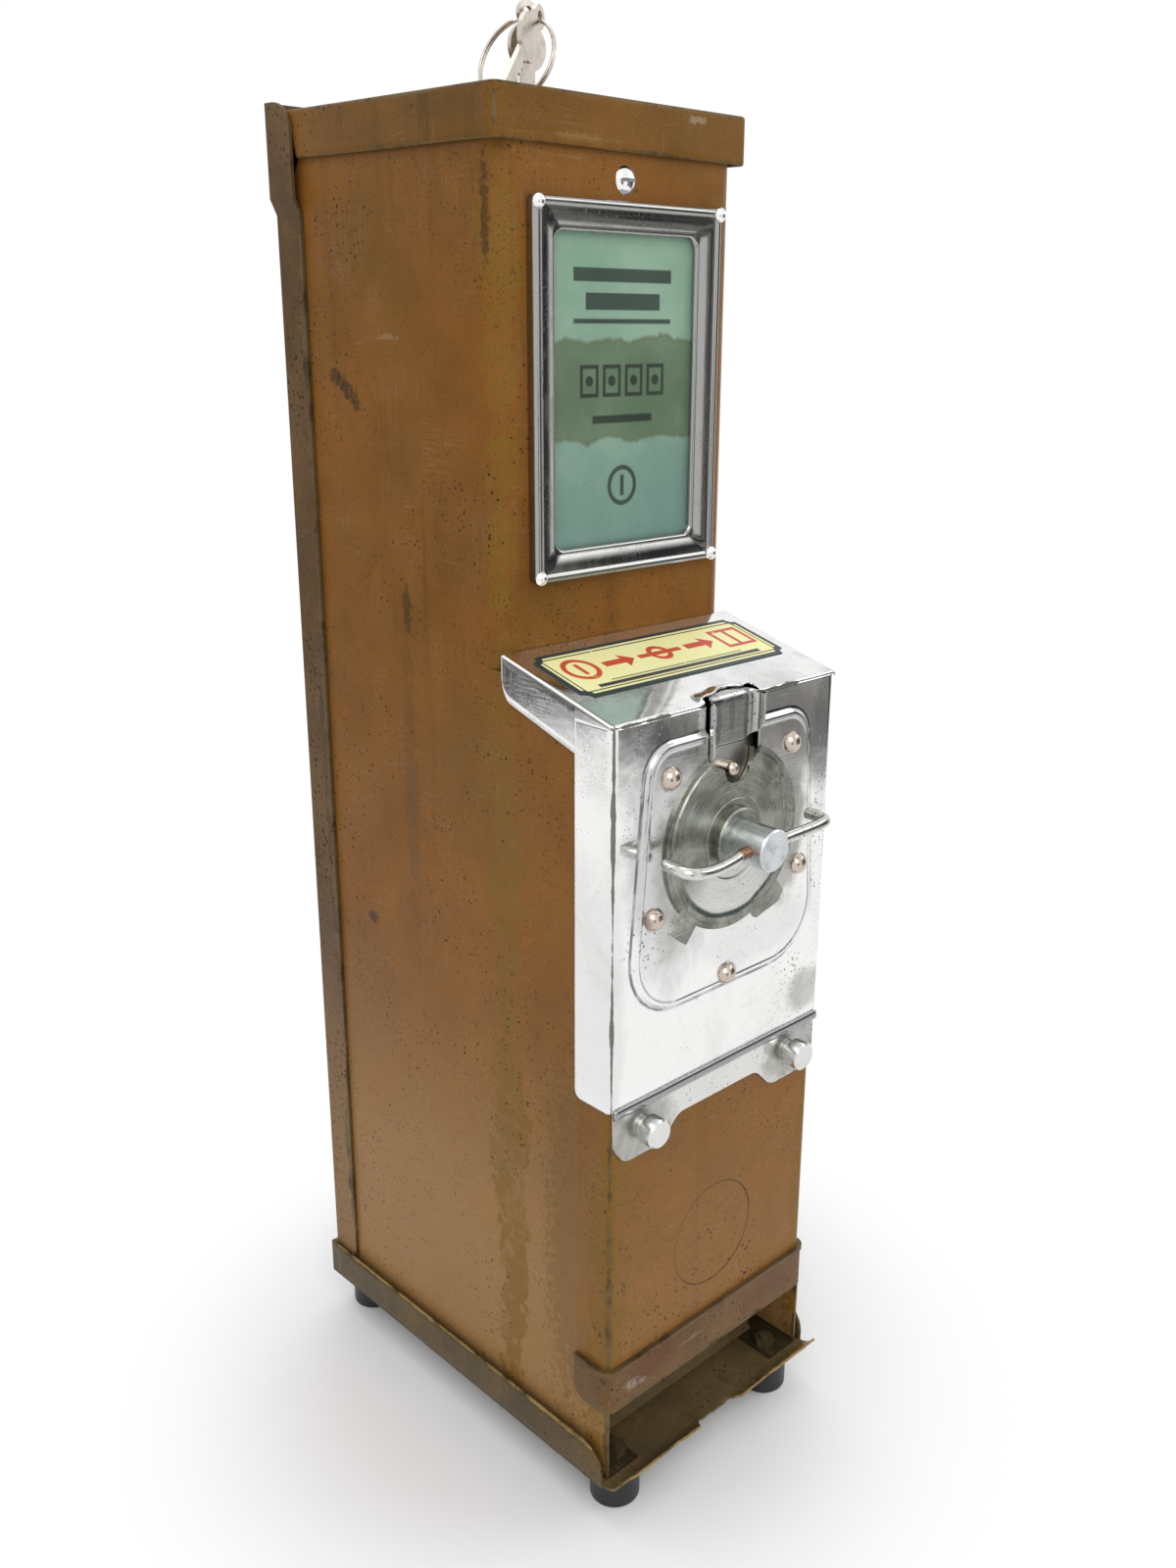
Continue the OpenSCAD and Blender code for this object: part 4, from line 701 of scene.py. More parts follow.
def hood_label():
    """Yellow label with a dark border that follows its scooped corners, and plain signs in
    red: a coin, an arrow, a handle, an arrow and a folder. Below them is a dark rule."""
    mat, t, shader, vec = surface("hood_label")
    xyz = t.split(vec)
    x, y = xyz[X], xyz[Y]
    disc, ring, box, arrow = shape_masks(t, x, y)
    mid = (LABEL_Y0 + LABEL_Y1) / 2 + 2.0
    side = t.minus(LABEL_X * MM, t.size(x))
    ends = t.math("MINIMUM", t.minus(y, LABEL_Y0 * MM), t.minus(LABEL_Y1 * MM, y))
    edge = t.math("MINIMUM", side, ends)
    scoops = [disc(cx, cy, 5.0) for cx in (-LABEL_X, LABEL_X) for cy in (LABEL_Y0, LABEL_Y1)]
    border = t.most(t.span(edge, 0.0019, 0.0015), *scoops)
    inner = t.times(t.span(edge, 0.0026, 0.0028), t.span(edge, 0.0034, 0.0032))
    red = t.most(ring(-34.5, mid, 6.6, 1.8), box(-35.3, -33.7, mid - 3.4, mid + 3.4),
               arrow(-25, -11.5, mid, 1.5), ring(0, mid, 4.6, 1.9), box(-9.6, 9.6, mid - 1.1, mid + 1.1),
               arrow(12, 25.5, mid, 1.5))
    folder = t.minus(box(28.0, 42, mid - 6.0, mid + 6.0), box(29.6, 40.4, mid - 4.4, mid + 4.4))
    red = t.most(red, folder, box(34.2, 35.8, mid - 6.0, mid + 6.0))
    rule = t.most(box(-37, 37, LABEL_Y0 + 4.0, LABEL_Y0 + 5.8), box(-30, 30, LABEL_Y0 + 6.6, LABEL_Y0 + 7.1))
    worn = t.span(t.noise(vec, 210.0, 4.0, 0.7), 0.62, 0.7)
    yellow = t.mix(t.noise(vec, 60.0, 4.0), (0.92, 0.86, 0.33), (0.97, 0.95, 0.55))
    keep = t.minus(1.0, t.times(worn, 0.8))
    colour = t.stain(yellow, red, keep, (0.62, 0.075, 0.035))
    colour = t.stain(colour, t.most(rule, inner), keep, (0.03, 0.035, 0.035))
    colour = t.mix(border, colour, (0.016, 0.035, 0.038))
    spots = t.use(PITS, Vector=vec, Scale=420.0, Amount=0.35)[0]
    colour = t.stain(colour, spots, 0.5, (0.20, 0.13, 0.05))
    fill(t, shader, Base_Color=colour, Roughness=0.42, Normal=t.bump(t.noise(vec, 260.0, 3.0), 0.2, 0.0001))
    return mat


def print_card():
    """Green card behind the glass: paler fields above and below a darker olive band with
    ragged edges, and plain printed signs: rules, four small stamps and a coin."""
    mat, t, shader, vec = surface("print_card")
    xyz = t.split(vec)
    x, z = xyz[X], xyz[Z]
    disc, ring, box, _ = shape_masks(t, x, z)
    fibre = t.noise(vec, 420.0, 3.0)
    cloud = t.noise(vec, 30.0, 4.0, 0.6, 0.3)
    ragged = t.noise(t.moved(vec, scale=(1, 1, 0.2)), 95.0, 4.0, 0.6)
    level = t.plus(z, t.times(t.minus(ragged, 0.5), 0.009))
    top, low = 0.3925, 0.3622
    band = t.times(t.span(level, top, top - 0.0004), t.span(level, low, low + 0.0004))
    upper = t.mix(t.span(cloud, 0.35, 0.65), (0.215, 0.350, 0.245), (0.275, 0.410, 0.300))
    lower = t.mix(t.span(cloud, 0.35, 0.65), (0.155, 0.270, 0.225), (0.205, 0.325, 0.265))
    pale = t.mix(t.span(z, 0.330, 0.415), lower, upper)
    olive = t.mix(t.span(cloud, 0.35, 0.65), (0.105, 0.165, 0.090), (0.150, 0.215, 0.130))
    colour = t.mix(band, pale, olive)
    rims = [t.span(t.off(level, e), 0.0011, 0.0) for e in (top, low)]
    colour = t.stain(colour, t.most(*rims), 0.65, (0.12, 0.13, 0.045))
    ink = t.most(box(-21, 21, 409.4, 413.4), box(-16, 16, 401.2, 406.2), box(-21, 21, 397.2, 398.6),
               ring(0, 347.5, 6.4, 1.5), box(-0.8, 0.8, 344.2, 350.8), box(-13, 13, 367.2, 369.6))
    for k in range(4):
        cx = -14.4 + 9.6 * k
        stamp = t.minus(box(cx - 3.9, cx + 3.9, 375.2, 385.0), box(cx - 2.7, cx + 2.7, 376.4, 383.8))
        ink = t.most(ink, stamp, disc(cx, 380.1, 1.6))
    colour = t.stain(colour, ink, 0.86, (0.018, 0.030, 0.022))
    spots = t.use(PITS, Vector=vec, Scale=240.0, Amount=0.42)[0]
    colour = t.stain(colour, spots, 0.4, (0.08, 0.09, 0.045))
    fill(t, shader, Base_Color=colour, Roughness=0.7, Normal=t.bump(fibre, 0.2, 0.0001))
    return mat


# ------------------------------------------------------------------ hood panel

PAD = [(-44.6, 189.2), (44.6, 189.2), (37.2, 277.6), (-37.2, 277.6)]
PAD_RADII = (20, 20, 11, 11)
SLOT_X = 12.4


def closed_outline(corners, radii):
    """A closed outline with every corner replaced by an arc."""
    c = [np.array(p, float) for p in corners]
    mid = (c[-1] + c[0]) / 2
    return rounded_path([mid] + c + [mid], radii, 8)[:-1]


def tear(x):
    """How far behind the hood's front edge the torn lip over the coin channel lies."""
    return 1.6 + 2.6 * np.exp(-(x / 6.5) ** 2) + 0.45 * waves(x, 5, 7.0)


def slope_height(y):
    return HOOD_Z + (y - HOOD_FACE) * math.tan(HOOD_SLOPE)


def hood_front(material):
    """Front of the hood panel and its two side flanges: a plan outline with rounded corners
    carried upwards. The front bulges forward inside the pad's outline by a smooth
    step of the distance to that outline."""
    corners = [(-HOOD_OUT, FLANGE_Y), (-HOOD_OUT, HOOD_FACE), (HOOD_OUT, HOOD_FACE), (HOOD_OUT, FLANGE_Y)]
    plan = resample(rounded_path(corners, (2.6, 2.6), 10), 190)
    for x in (-SLOT_HALF, SLOT_HALF):
        plan[np.argmin(np.abs(plan[:, 0] - x)), 0] = x
    z = np.linspace(HOOD_LOW + 0.4, PANEL_TOP, 176)
    x, zz = np.meshgrid(plan[:, 0], z, indexing="ij")
    y = np.repeat(plan[:, 1:2], len(z), 1)
    rise = np.maximum(0, 3.2 - (zz - z[0]))
    cut = 3.2 - np.sqrt(np.maximum(0, 3.2 ** 2 - rise ** 2))
    depth = FLANGE_Y - HOOD_FACE
    y = np.where(np.abs(x) > HOOD_OUT - 0.01, HOOD_FACE + (y - HOOD_FACE) * (depth - cut) / depth, y)
    inside = edge_distance(x, zz, closed_outline(PAD, PAD_RADII))
    front = y < HOOD_FACE + 0.01
    y = y - np.where(front, 1.3 * smooth_step((inside + 1.0) / 2.0), 0)
    y = y - np.where(front, 0.4 * np.exp(-((inside - 0.7) / 0.8) ** 2), 0)
    centre_x = (x[:-1, :-1] + x[1:, 1:]) / 2
    centre_z = (zz[:-1, :-1] + zz[1:, 1:]) / 2
    open_slot = (np.abs(centre_x) < SLOT_HALF) & (centre_z > SLOT_LOW) & front[:-1, :-1]
    hub = np.hypot(centre_x, centre_z - AXIS_Z) < HUB_HOLE
    faces = grid_faces(len(plan), len(z), keep=~(open_slot | hub))
    points = np.stack([x, y, zz], -1).reshape(-1, 3)
    obj = make_piece("hood_front", points, faces, "case", material, ["hood_panel"])
    line = obj.data.attributes.new("pad_line", "FLOAT", "POINT")
    line.data.foreach_set("value", np.where(front, inside, -20.0).ravel().astype(np.float32))
    add_wall(obj, 0.7)


def hood_top(material):
    """Sloping top of the hood and its side flanges: an outline across the machine carried
    backwards. It starts in a small bend at the front edge. Over the coin channel the
    edge is torn back and curls up."""
    bend = np.linspace(0, math.pi / 2 - HOOD_SLOPE, 6)
    r = 1.2
    end_y = HOOD_FACE + r * (1 - math.cos(bend[-1]))
    z0 = slope_height(end_y) - r * math.sin(bend[-1])
    rows = [(HOOD_FACE + r * (1 - math.cos(b)), z0 + r * math.sin(b)) for b in bend]
    flange = [FLANGE_Y - 0.01, FLANGE_Y + 0.01]
    ys = np.r_[np.linspace(end_y + 0.25, -62, 34), np.linspace(-61, FLANGE_Y - 1, 4), flange,
               np.linspace(FLANGE_Y + 1, -27, 16), np.linspace(-26.5, HOOD_REAR, 9)]
    rows = np.array(rows + [(v, slope_height(v)) for v in ys])
    y, top = rows[:, 0], rows[:, 1]
    low = np.where(y <= FLANGE_Y, np.minimum(PANEL_TOP, top - 0.02), 275.5 + (y - FLANGE_Y) * 0.312)
    round_end = np.clip((y + 26.5) / 4.0, 0, 1)
    low = low + np.where(y > -26.5, 7.0 * (1 - np.sqrt(np.maximum(0, 1 - round_end ** 2))), 0)
    across = np.linspace(-HOOD_OUT + 1.0, HOOD_OUT - 1.0, 150)
    arc = np.linspace(math.pi / 2, 0, 5)[1:]
    drop = np.linspace(0, 1, 7)[1:]
    x_side = np.r_[HOOD_OUT - 1.0 + np.cos(arc), np.full(len(drop), HOOD_OUT)]
    xs = np.r_[-x_side[::-1], across, x_side]
    side_z = []
    for tz, lz in zip(top, low):
        h = min(1.0, max(0.02, tz - lz))
        down = np.r_[tz - h * (1 - np.sin(arc)), tz - h - drop * max(0.0, tz - h - lz)]
        side_z.append(np.r_[down[::-1], np.full(len(across), tz), down])
    z = np.array(side_z)
    x = np.repeat(xs[None], len(rows), 0)
    yy = np.repeat(y[:, None], len(xs), 1)
    edge = HOOD_FACE + tear(x)
    near = np.abs(x) < SLOT_X + 0.4
    fade = smooth_step((SLOT_X + 3 - np.abs(x)) / 6.0)
    z = z + 1.9 * np.exp(-((yy - edge) / 2.6) ** 2) * fade * (1 + 0.25 * waves(x, 9, 5.0))
    keep = ~(near & (yy < edge))[:-1, :-1]
    points = np.stack([x, yy, z], -1).reshape(-1, 3)
    obj = make_piece("hood_top", points, grid_faces(len(rows), len(xs), keep=keep)[:, ::-1],
                     "case", material)
    add_wall(obj, 0.7)


def coin_channel(material):
    """Channel that guides the coin down to the wheel: a wide U with round inner corners
    carried downwards. At the top its floor rolls back under the hood's torn lip.
    Its lower end is cut askew, lower on the left."""
    side, front, floor = 11.25, -75.9, -71.5
    u = resample(rounded_path([(-side, front), (-side, floor), (side, floor), (side, front)], (3.6, 3.6),
                              8), 64)
    x, y = u[:, 0], u[:, 1]
    out = np.clip((floor - y) / (floor - front), 0, 1)
    low = 271.3 + np.where(x < 0,
                           -3.2 * smooth_step((out - 0.42) / 0.2) + 2.0 * smooth_step((out - 0.7) / 0.3),
                           2.6 * smooth_step((x - 7.0) / 4.5) + 3.0 * smooth_step((out - 0.5) / 0.5))
    low = low + 0.25 * np.abs(waves(x + out * 4, 31, 3.0))
    v = np.linspace(0, 1, 26)
    straight = low[:, None] + (285.0 - low[:, None]) * v[None]
    roll = np.linspace(0, math.pi / 2, 8)[1:]
    wide = smooth_step((side - np.abs(x)) / 4.0)[:, None]
    size = 2.4 + 1.1 * wide
    z = np.concatenate([straight, 285.0 + size * np.sin(roll)[None], 285.0 + size], 1)
    y = np.concatenate([np.repeat(y[:, None], 26, 1), y[:, None] + wide * size * (1 - np.cos(roll))[None],
                        y[:, None] + wide * 4.6], 1)
    x = np.repeat(x[:, None], z.shape[1], 1)
    x = x + 0.12 * waves(z, 17, 6.0) * (out[:, None] > 0.4)
    z[:, -2:] += 0.12 * waves(u[:, :1], 8, 2.5)
    obj = make_piece("coin_channel", np.stack([x, y, z], -1).reshape(-1, 3), grid_faces(len(u), z.shape[1]),
                     "case", material, ["coin_chute"])
    add_wall(obj, 0.8)


def hood_hem(material):
    """Folded hem along the front's lower edge: a flat oval carried across the front, a
    little wavy, with closed ends."""
    x = np.linspace(-HOOD_OUT + 1.5, HOOD_OUT - 1.5, 90)
    path = np.stack([x, np.full(90, HOOD_FACE - 0.45), HOOD_LOW - 0.1 + 0.12 * waves(x, 3, 20.0)], -1)
    a = np.linspace(0, 2 * np.pi, 16, endpoint=False)
    pts, faces = sweep(path, np.stack([0.8 * np.cos(a), 1.75 * np.sin(a)], -1))
    pts, faces = capped(pts, faces, len(path), 16)
    make_piece("hood_hem", pts, faces, "case", material)


def add_wall(obj, thickness):
    """Gives an open sheet its wall, behind the side that is drawn."""
    m = obj.modifiers.new("wall", "SOLIDIFY")
    m.thickness = thickness * MM
    m.offset = -1.0


def corner_strips(material):
    """Short stretch of the case's round front corners just above the hood: a quarter
    circle in plan, carried upwards, on both sides. A flat strip in the plane of the upper
    front closes the corner of the hood behind each."""
    r, low, high = 8.48, 293.2, 299.6
    a = np.linspace(math.pi, 1.5 * math.pi, 16)
    x = np.r_[-HALF_W + r + r * np.cos(a), -HALF_W + r + 0.6]
    y = np.r_[UPPER_Y + r + r * np.sin(a), UPPER_Y + 0.02]
    z = np.linspace(low, high, 6)
    for side, name in ((1, "corner_strip_left"), (-1, "corner_strip_right")):
        pts = np.stack([np.repeat(side * x[:, None], 6, 1), np.repeat(y[:, None], 6, 1),
                        np.repeat(z[None], len(x), 0)], -1).reshape(-1, 3)
        faces = grid_faces(len(x), 6)
        obj = make_piece(name, pts, faces if side > 0 else faces[:, ::-1], "case", material)
        add_wall(obj, 0.7)
        x0, x1 = sorted((-side * (HALF_W - r), -side * (HALF_W + 0.1)))
        flap = [(x0, UPPER_Y - 0.05, low), (x1, UPPER_Y - 0.05, low), (x1, UPPER_Y - 0.05, 298.9),
                (x0, UPPER_Y - 0.05, 298.9)]
        add_wall(make_piece(name + "_flap", flap, [(0, 1, 2, 3)], "case", material), 0.5)


# ------------------------------------------------------------------ window frame

def rounded_rectangle(half_w, half_h, r, per_corner=9):
    """Points of a rectangle with round corners, anticlockwise, the same number for
    any size, so rows of different insets join up."""
    a = np.linspace(0, math.pi / 2, per_corner)
    pts = []
    for k, (sx, sz) in enumerate(((1, 1), (-1, 1), (-1, -1), (1, -1))):
        c = np.array([sx * (half_w - r), sz * (half_h - r)])
        t = a + k * math.pi / 2
        pts.append(c + r * np.stack([np.cos(t), np.sin(t)], -1))
    return np.concatenate(pts)


def window_frame(material):
    """Moulding round the window: rows of rounded rectangles, each with an inset and a
    height from one profile: a steep outer wall, a round bead, then a bulging face
    that sinks towards the glass and turns down into it."""
    b = np.linspace(math.pi, 0.62, 9)
    bead = np.stack([1.5 + 1.45 * np.cos(b), 2.62 + 1.45 * np.sin(b)], -1)
    c = np.linspace(0, 1, 9)[1:]
    fall = np.stack([2.7 + 5.9 * c, 3.45 - 0.35 * c - 1.25 * c ** 2.2], -1)
    d = np.linspace(0.2, math.pi / 2, 6)
    inner = np.stack([8.6 + 1.2 * np.sin(d), 0.75 + 1.1 * np.cos(d)], -1)
    profile = np.vstack([[(0.0, 0.0), (0.02, 1.4)], bead, fall, inner, [(9.8, 0.05)]])
    rows = []
    for inset, height in profile:
        r = 2.2 + 1.3 * inset / 9.8
        ring = rounded_rectangle(FRAME_HALF_W - inset, FRAME_HALF_H - inset * 0.956, r)
        rows.append(np.stack([ring[:, 0], np.full(len(ring), UPPER_Y - height), WINDOW_Z + ring[:, 1]], -1))
    pts = np.array(rows)
    faces = grid_faces(len(rows), pts.shape[1], True)
    make_piece("window_moulding", pts.reshape(-1, 3), faces, "case", material,
               ["window_frame"])


# ------------------------------------------------------------------ handle, ring

def handle(material):
    """Bent wire through the hub: a smooth path with both ends turned back, and a circle
    carried along it that swells a little in the arms and closes in a round end."""
    y, z = WIRE_Y, AXIS_Z
    left = [(-34.0, y + 10.0, z + 0.6), (-34.1, y + 5.0, z + 0.3), (-32.9, y + 0.8, z - 0.4),
            (-28.5, y - 0.9, z - 1.1), (-22.0, y - 1.3, z - 1.3), (-14.0, y - 0.9, z - 0.7), (-7.5, y, z)]
    right = [(7.5, y, z), (14.0, y - 0.2, z + 0.1), (22.0, y - 0.3, z + 0.2), (28.5, y - 0.2, z + 0.4),
             (32.9, y + 1.0, z + 0.5), (34.1, y + 5.0, z + 0.6), (34.0, y + 10.0, z + 0.6)]
    path = resample(smooth_path(left + right, 12), 150)
    d = np.linspace(0, 1, len(path))
    reach = np.minimum(d, 1 - d) * 96.0
    size = 1.98 + 0.06 * waves(d * 100, 2, 30.0) * (np.abs(path[:, 0]) > 7.5)
    size = size * np.sqrt(np.clip(1 - (1 - np.clip(reach / 1.1, 0, 1)) ** 2, 0.02, 1))
    shape = ring_shape(1.0, 24)[None] * size[:, None, None]
    pts, faces = sweep(path, shape)
    pts, faces = capped(pts, faces, len(path), 24)
    make_piece("handle_wire", pts, faces, "handle", material, ["handle_bar"])


def smooth_path(knots, steps):
    """A curve through all the given points: on each stretch a cubic whose slopes at
    both ends are half the way between the two neighbours."""
    k = np.asarray(knots, float)
    k = np.vstack([2 * k[0] - k[1], k, 2 * k[-1] - k[-2]])
    t = np.linspace(0, 1, steps, endpoint=False)[:, None]
    out = []
    for a, b, c, d in zip(k[:-3], k[1:-2], k[2:-1], k[3:]):
        out.append(0.5 * (2 * b + (c - a) * t + (2 * a - 5 * b + 4 * c - d) * t ** 2
                          + (3 * b - 3 * c + d - a) * t ** 3))
    return np.vstack(out + [k[-2][None]])


def key_ring(material):
    """Split ring of two turns: a circle that shifts sideways by one wire width a turn,
    leaning to the left and front from the key's eye."""
    lean, turn = math.radians(22), math.radians(12)
    hang = np.array([0, LOCK_Y, LID_TOP + 28.5 - 1.2])
    turns = np.linspace(0.35, 0.35 + 4 * np.pi * 0.97, 170)
    local = np.stack([0.95 * (turns - turns.mean()) / (2 * np.pi), 13.9 * np.sin(turns),
                      -14.2 + 13.9 * np.cos(turns)], -1)
    c, s = math.cos(lean), math.sin(lean)
    spun = np.stack([local[:, 0] * c + local[:, 2] * s, local[:, 1], -local[:, 0] * s + local[:, 2] * c], -1)
    c, s = math.cos(turn), math.sin(turn)
    spun = np.stack([spun[:, 0] * c - spun[:, 1] * s, spun[:, 0] * s + spun[:, 1] * c, spun[:, 2]], -1)
    pts, faces = sweep(hang + spun, ring_shape(0.45, 10))
    pts, faces = capped(pts, faces, len(turns), 10)
    make_piece("split_ring", pts, faces, "ring", material, ["key_ring"])


# ------------------------------------------------------------------ tray

def tray(material):
    """Tray pan of four sheets: the floor, which curls down in front in a lip with a
    ragged, torn edge, two side walls with a round front end, and the rear wall."""
    outer, rear, low, lip_y, lip_r = 53.2, 92.1, 15.0, -71.9, 9.0
    x = np.linspace(-outer, outer, 140)
    notch = np.exp(-(np.clip(np.abs(x - 1.0) - 8.0, 0, None) / 3.2) ** 2)
    reach = 60.0 - 46.0 * notch + 4.0 * waves(x, 11, 16.0) + 2.2 * waves(x, 12, 3.0)
    reach = np.radians(np.clip(reach, 6.0, 62.0))
    t = np.linspace(0, 1, 14)
    ang = reach[:, None] * t[None]
    lip = np.stack([np.repeat(x[:, None], 14, 1), lip_y - lip_r * np.sin(ang),
                    low + lip_r * (1 - np.cos(ang))], -1)
    lip[..., 2] += (0.5 * waves(x, 21, 18.0) + 0.35 * waves(x, 22, 4.0))[:, None] * t[None] ** 2
    flat = np.linspace(rear, lip_y, 12)[:-1]
    floor = np.stack([np.repeat(x[:, None], 11, 1), np.repeat(flat[None], len(x), 0),
                      np.full((len(x), 11), low)], -1)
    sheet = np.concatenate([floor, lip], 1)
    points = [sheet.reshape(-1, 3)]
    faces = [grid_faces(len(x), sheet.shape[1])]
    count = len(points[0])
    ys = np.r_[np.linspace(rear, -60, 24)[:-1], np.linspace(-60, lip_y, 26)]
    back = np.clip((ys - lip_y) / 10.4, 0, 1)
    top = low + 4.0 + 10.3 * np.sqrt(np.clip(1 - (1 - back) ** 2, 0, 1))
    for side in (-1, 1):
        v = np.linspace(0, 1, 6)
        z = low + (top[:, None] - low) * v[None]
        wall = np.stack([np.full(z.shape, side * outer), np.repeat(ys[:, None], 6, 1), z], -1)
        f = grid_faces(len(ys), 6, start=count)
        faces.append(f if side > 0 else f[:, ::-1])
        points.append(wall.reshape(-1, 3))
        count += wall.shape[0] * 6
    back_x = np.linspace(-outer, outer, 12)
    bx, bz = np.meshgrid(back_x, np.linspace(low, low + 14.3, 4), indexing="ij")
    points.append(np.stack([bx, np.full(bx.shape, rear), bz], -1).reshape(-1, 3))
    faces.append(grid_faces(12, 4, start=count)[:, ::-1])
    obj = make_piece("tray_pan", np.vstack(points), np.vstack(faces), "case", material,
                     ["base_tray"])
    add_wall(obj, 0.85)


# ------------------------------------------------------------------ lid

def lid_cap(material):
    """Lid: an outline of front and sides with round corners, carried over the edge's small
    bend and down the skirt. Its rows go on inward over the flat top to the middle
    line, with a hole round the lock, and the side skirts slant at the rear."""
    corners = [(-LID_X, LID_REAR), (-LID_X, LID_FRONT), (LID_X, LID_FRONT), (LID_X, LID_REAR)]
    plan = rounded_path(corners, (3.0, 3.0), 10)
    plan = np.vstack([resample(plan[:2], 72)[:-1], plan[1:12], resample(plan[11:13], 40)[1:-1],
                      plan[12:23], resample(plan[22:], 72)[1:]])
    ahead = np.gradient(plan, axis=0)
    ahead /= np.linalg.norm(ahead, axis=1, keepdims=True)
    out = np.stack([ahead[:, 1], -ahead[:, 0]], -1)
    out *= np.sign((out * (plan - [0, 30])).sum(1))[:, None]
    r, skirt = 1.1, LID_SKIRT
    b = np.linspace(0, math.pi / 2, 6)
    profile = [(r - r * math.sin(v), -r + r * math.cos(v)) for v in b]
    profile += [(0, -h) for h in np.linspace(2, skirt - 0.6, 8)] + [(0.15, -skirt + 0.2), (0.45, -skirt)]
    rows = []
    for f in (1.0, 0.97, 0.94, 0.91, 0.88, 0.85, 0.82, 0.79, 0.74, 0.5, 0.25, 0.1):
        mid = np.stack([np.zeros(len(plan)), np.clip(plan[:, 1], LID_FRONT + 45, None)], -1)
        p = (plan - out * r) * (1 - f) + mid * f
        rows.append(np.column_stack([p, np.full(len(p), LID_TOP)]))
    for inset, dz in profile:
        p = plan - out * inset
        rows.append(np.column_stack([p, np.full(len(p), LID_TOP + dz)]))
    pts = np.array(rows)
    depth = np.clip(LID_TOP - pts[..., 2], 0, skirt) / skirt
    side = np.abs(pts[..., 0]) > LID_X - 1.2
    span = LID_REAR - LID_FRONT
    pts[..., 1] = np.where(side, LID_FRONT + (pts[..., 1] - LID_FRONT) * (1 - 5.7 * depth / span),
                           pts[..., 1])
    pts[..., 2] += 0.16 * waves(pts[..., 0] + pts[..., 1], 4, 40.0) * (depth > 0.9)
    middle = (pts[:-1, :-1] + pts[1:, 1:]) / 2
    lock_hole = np.hypot(middle[..., 0], middle[..., 1] - LOCK_Y) < LOCK_HOLE
    faces = grid_faces(len(rows), len(plan), keep=~lock_hole)
    obj = make_piece("lid_cap", pts.reshape(-1, 3), faces, "lid", material, ["lid"])
    join_seams(obj)
    add_wall(obj, 0.9)


# ------------------------------------------------------------------ assembly

def dress(names, material):
    for name in names:
        mesh = nodes[name].data
        mesh.materials.clear()
        mesh.materials.append(material)


def upright(y, width):
    """The case's upright edges at a depth, worn over a width."""
    return (X, HALF_W, Y, y, width)


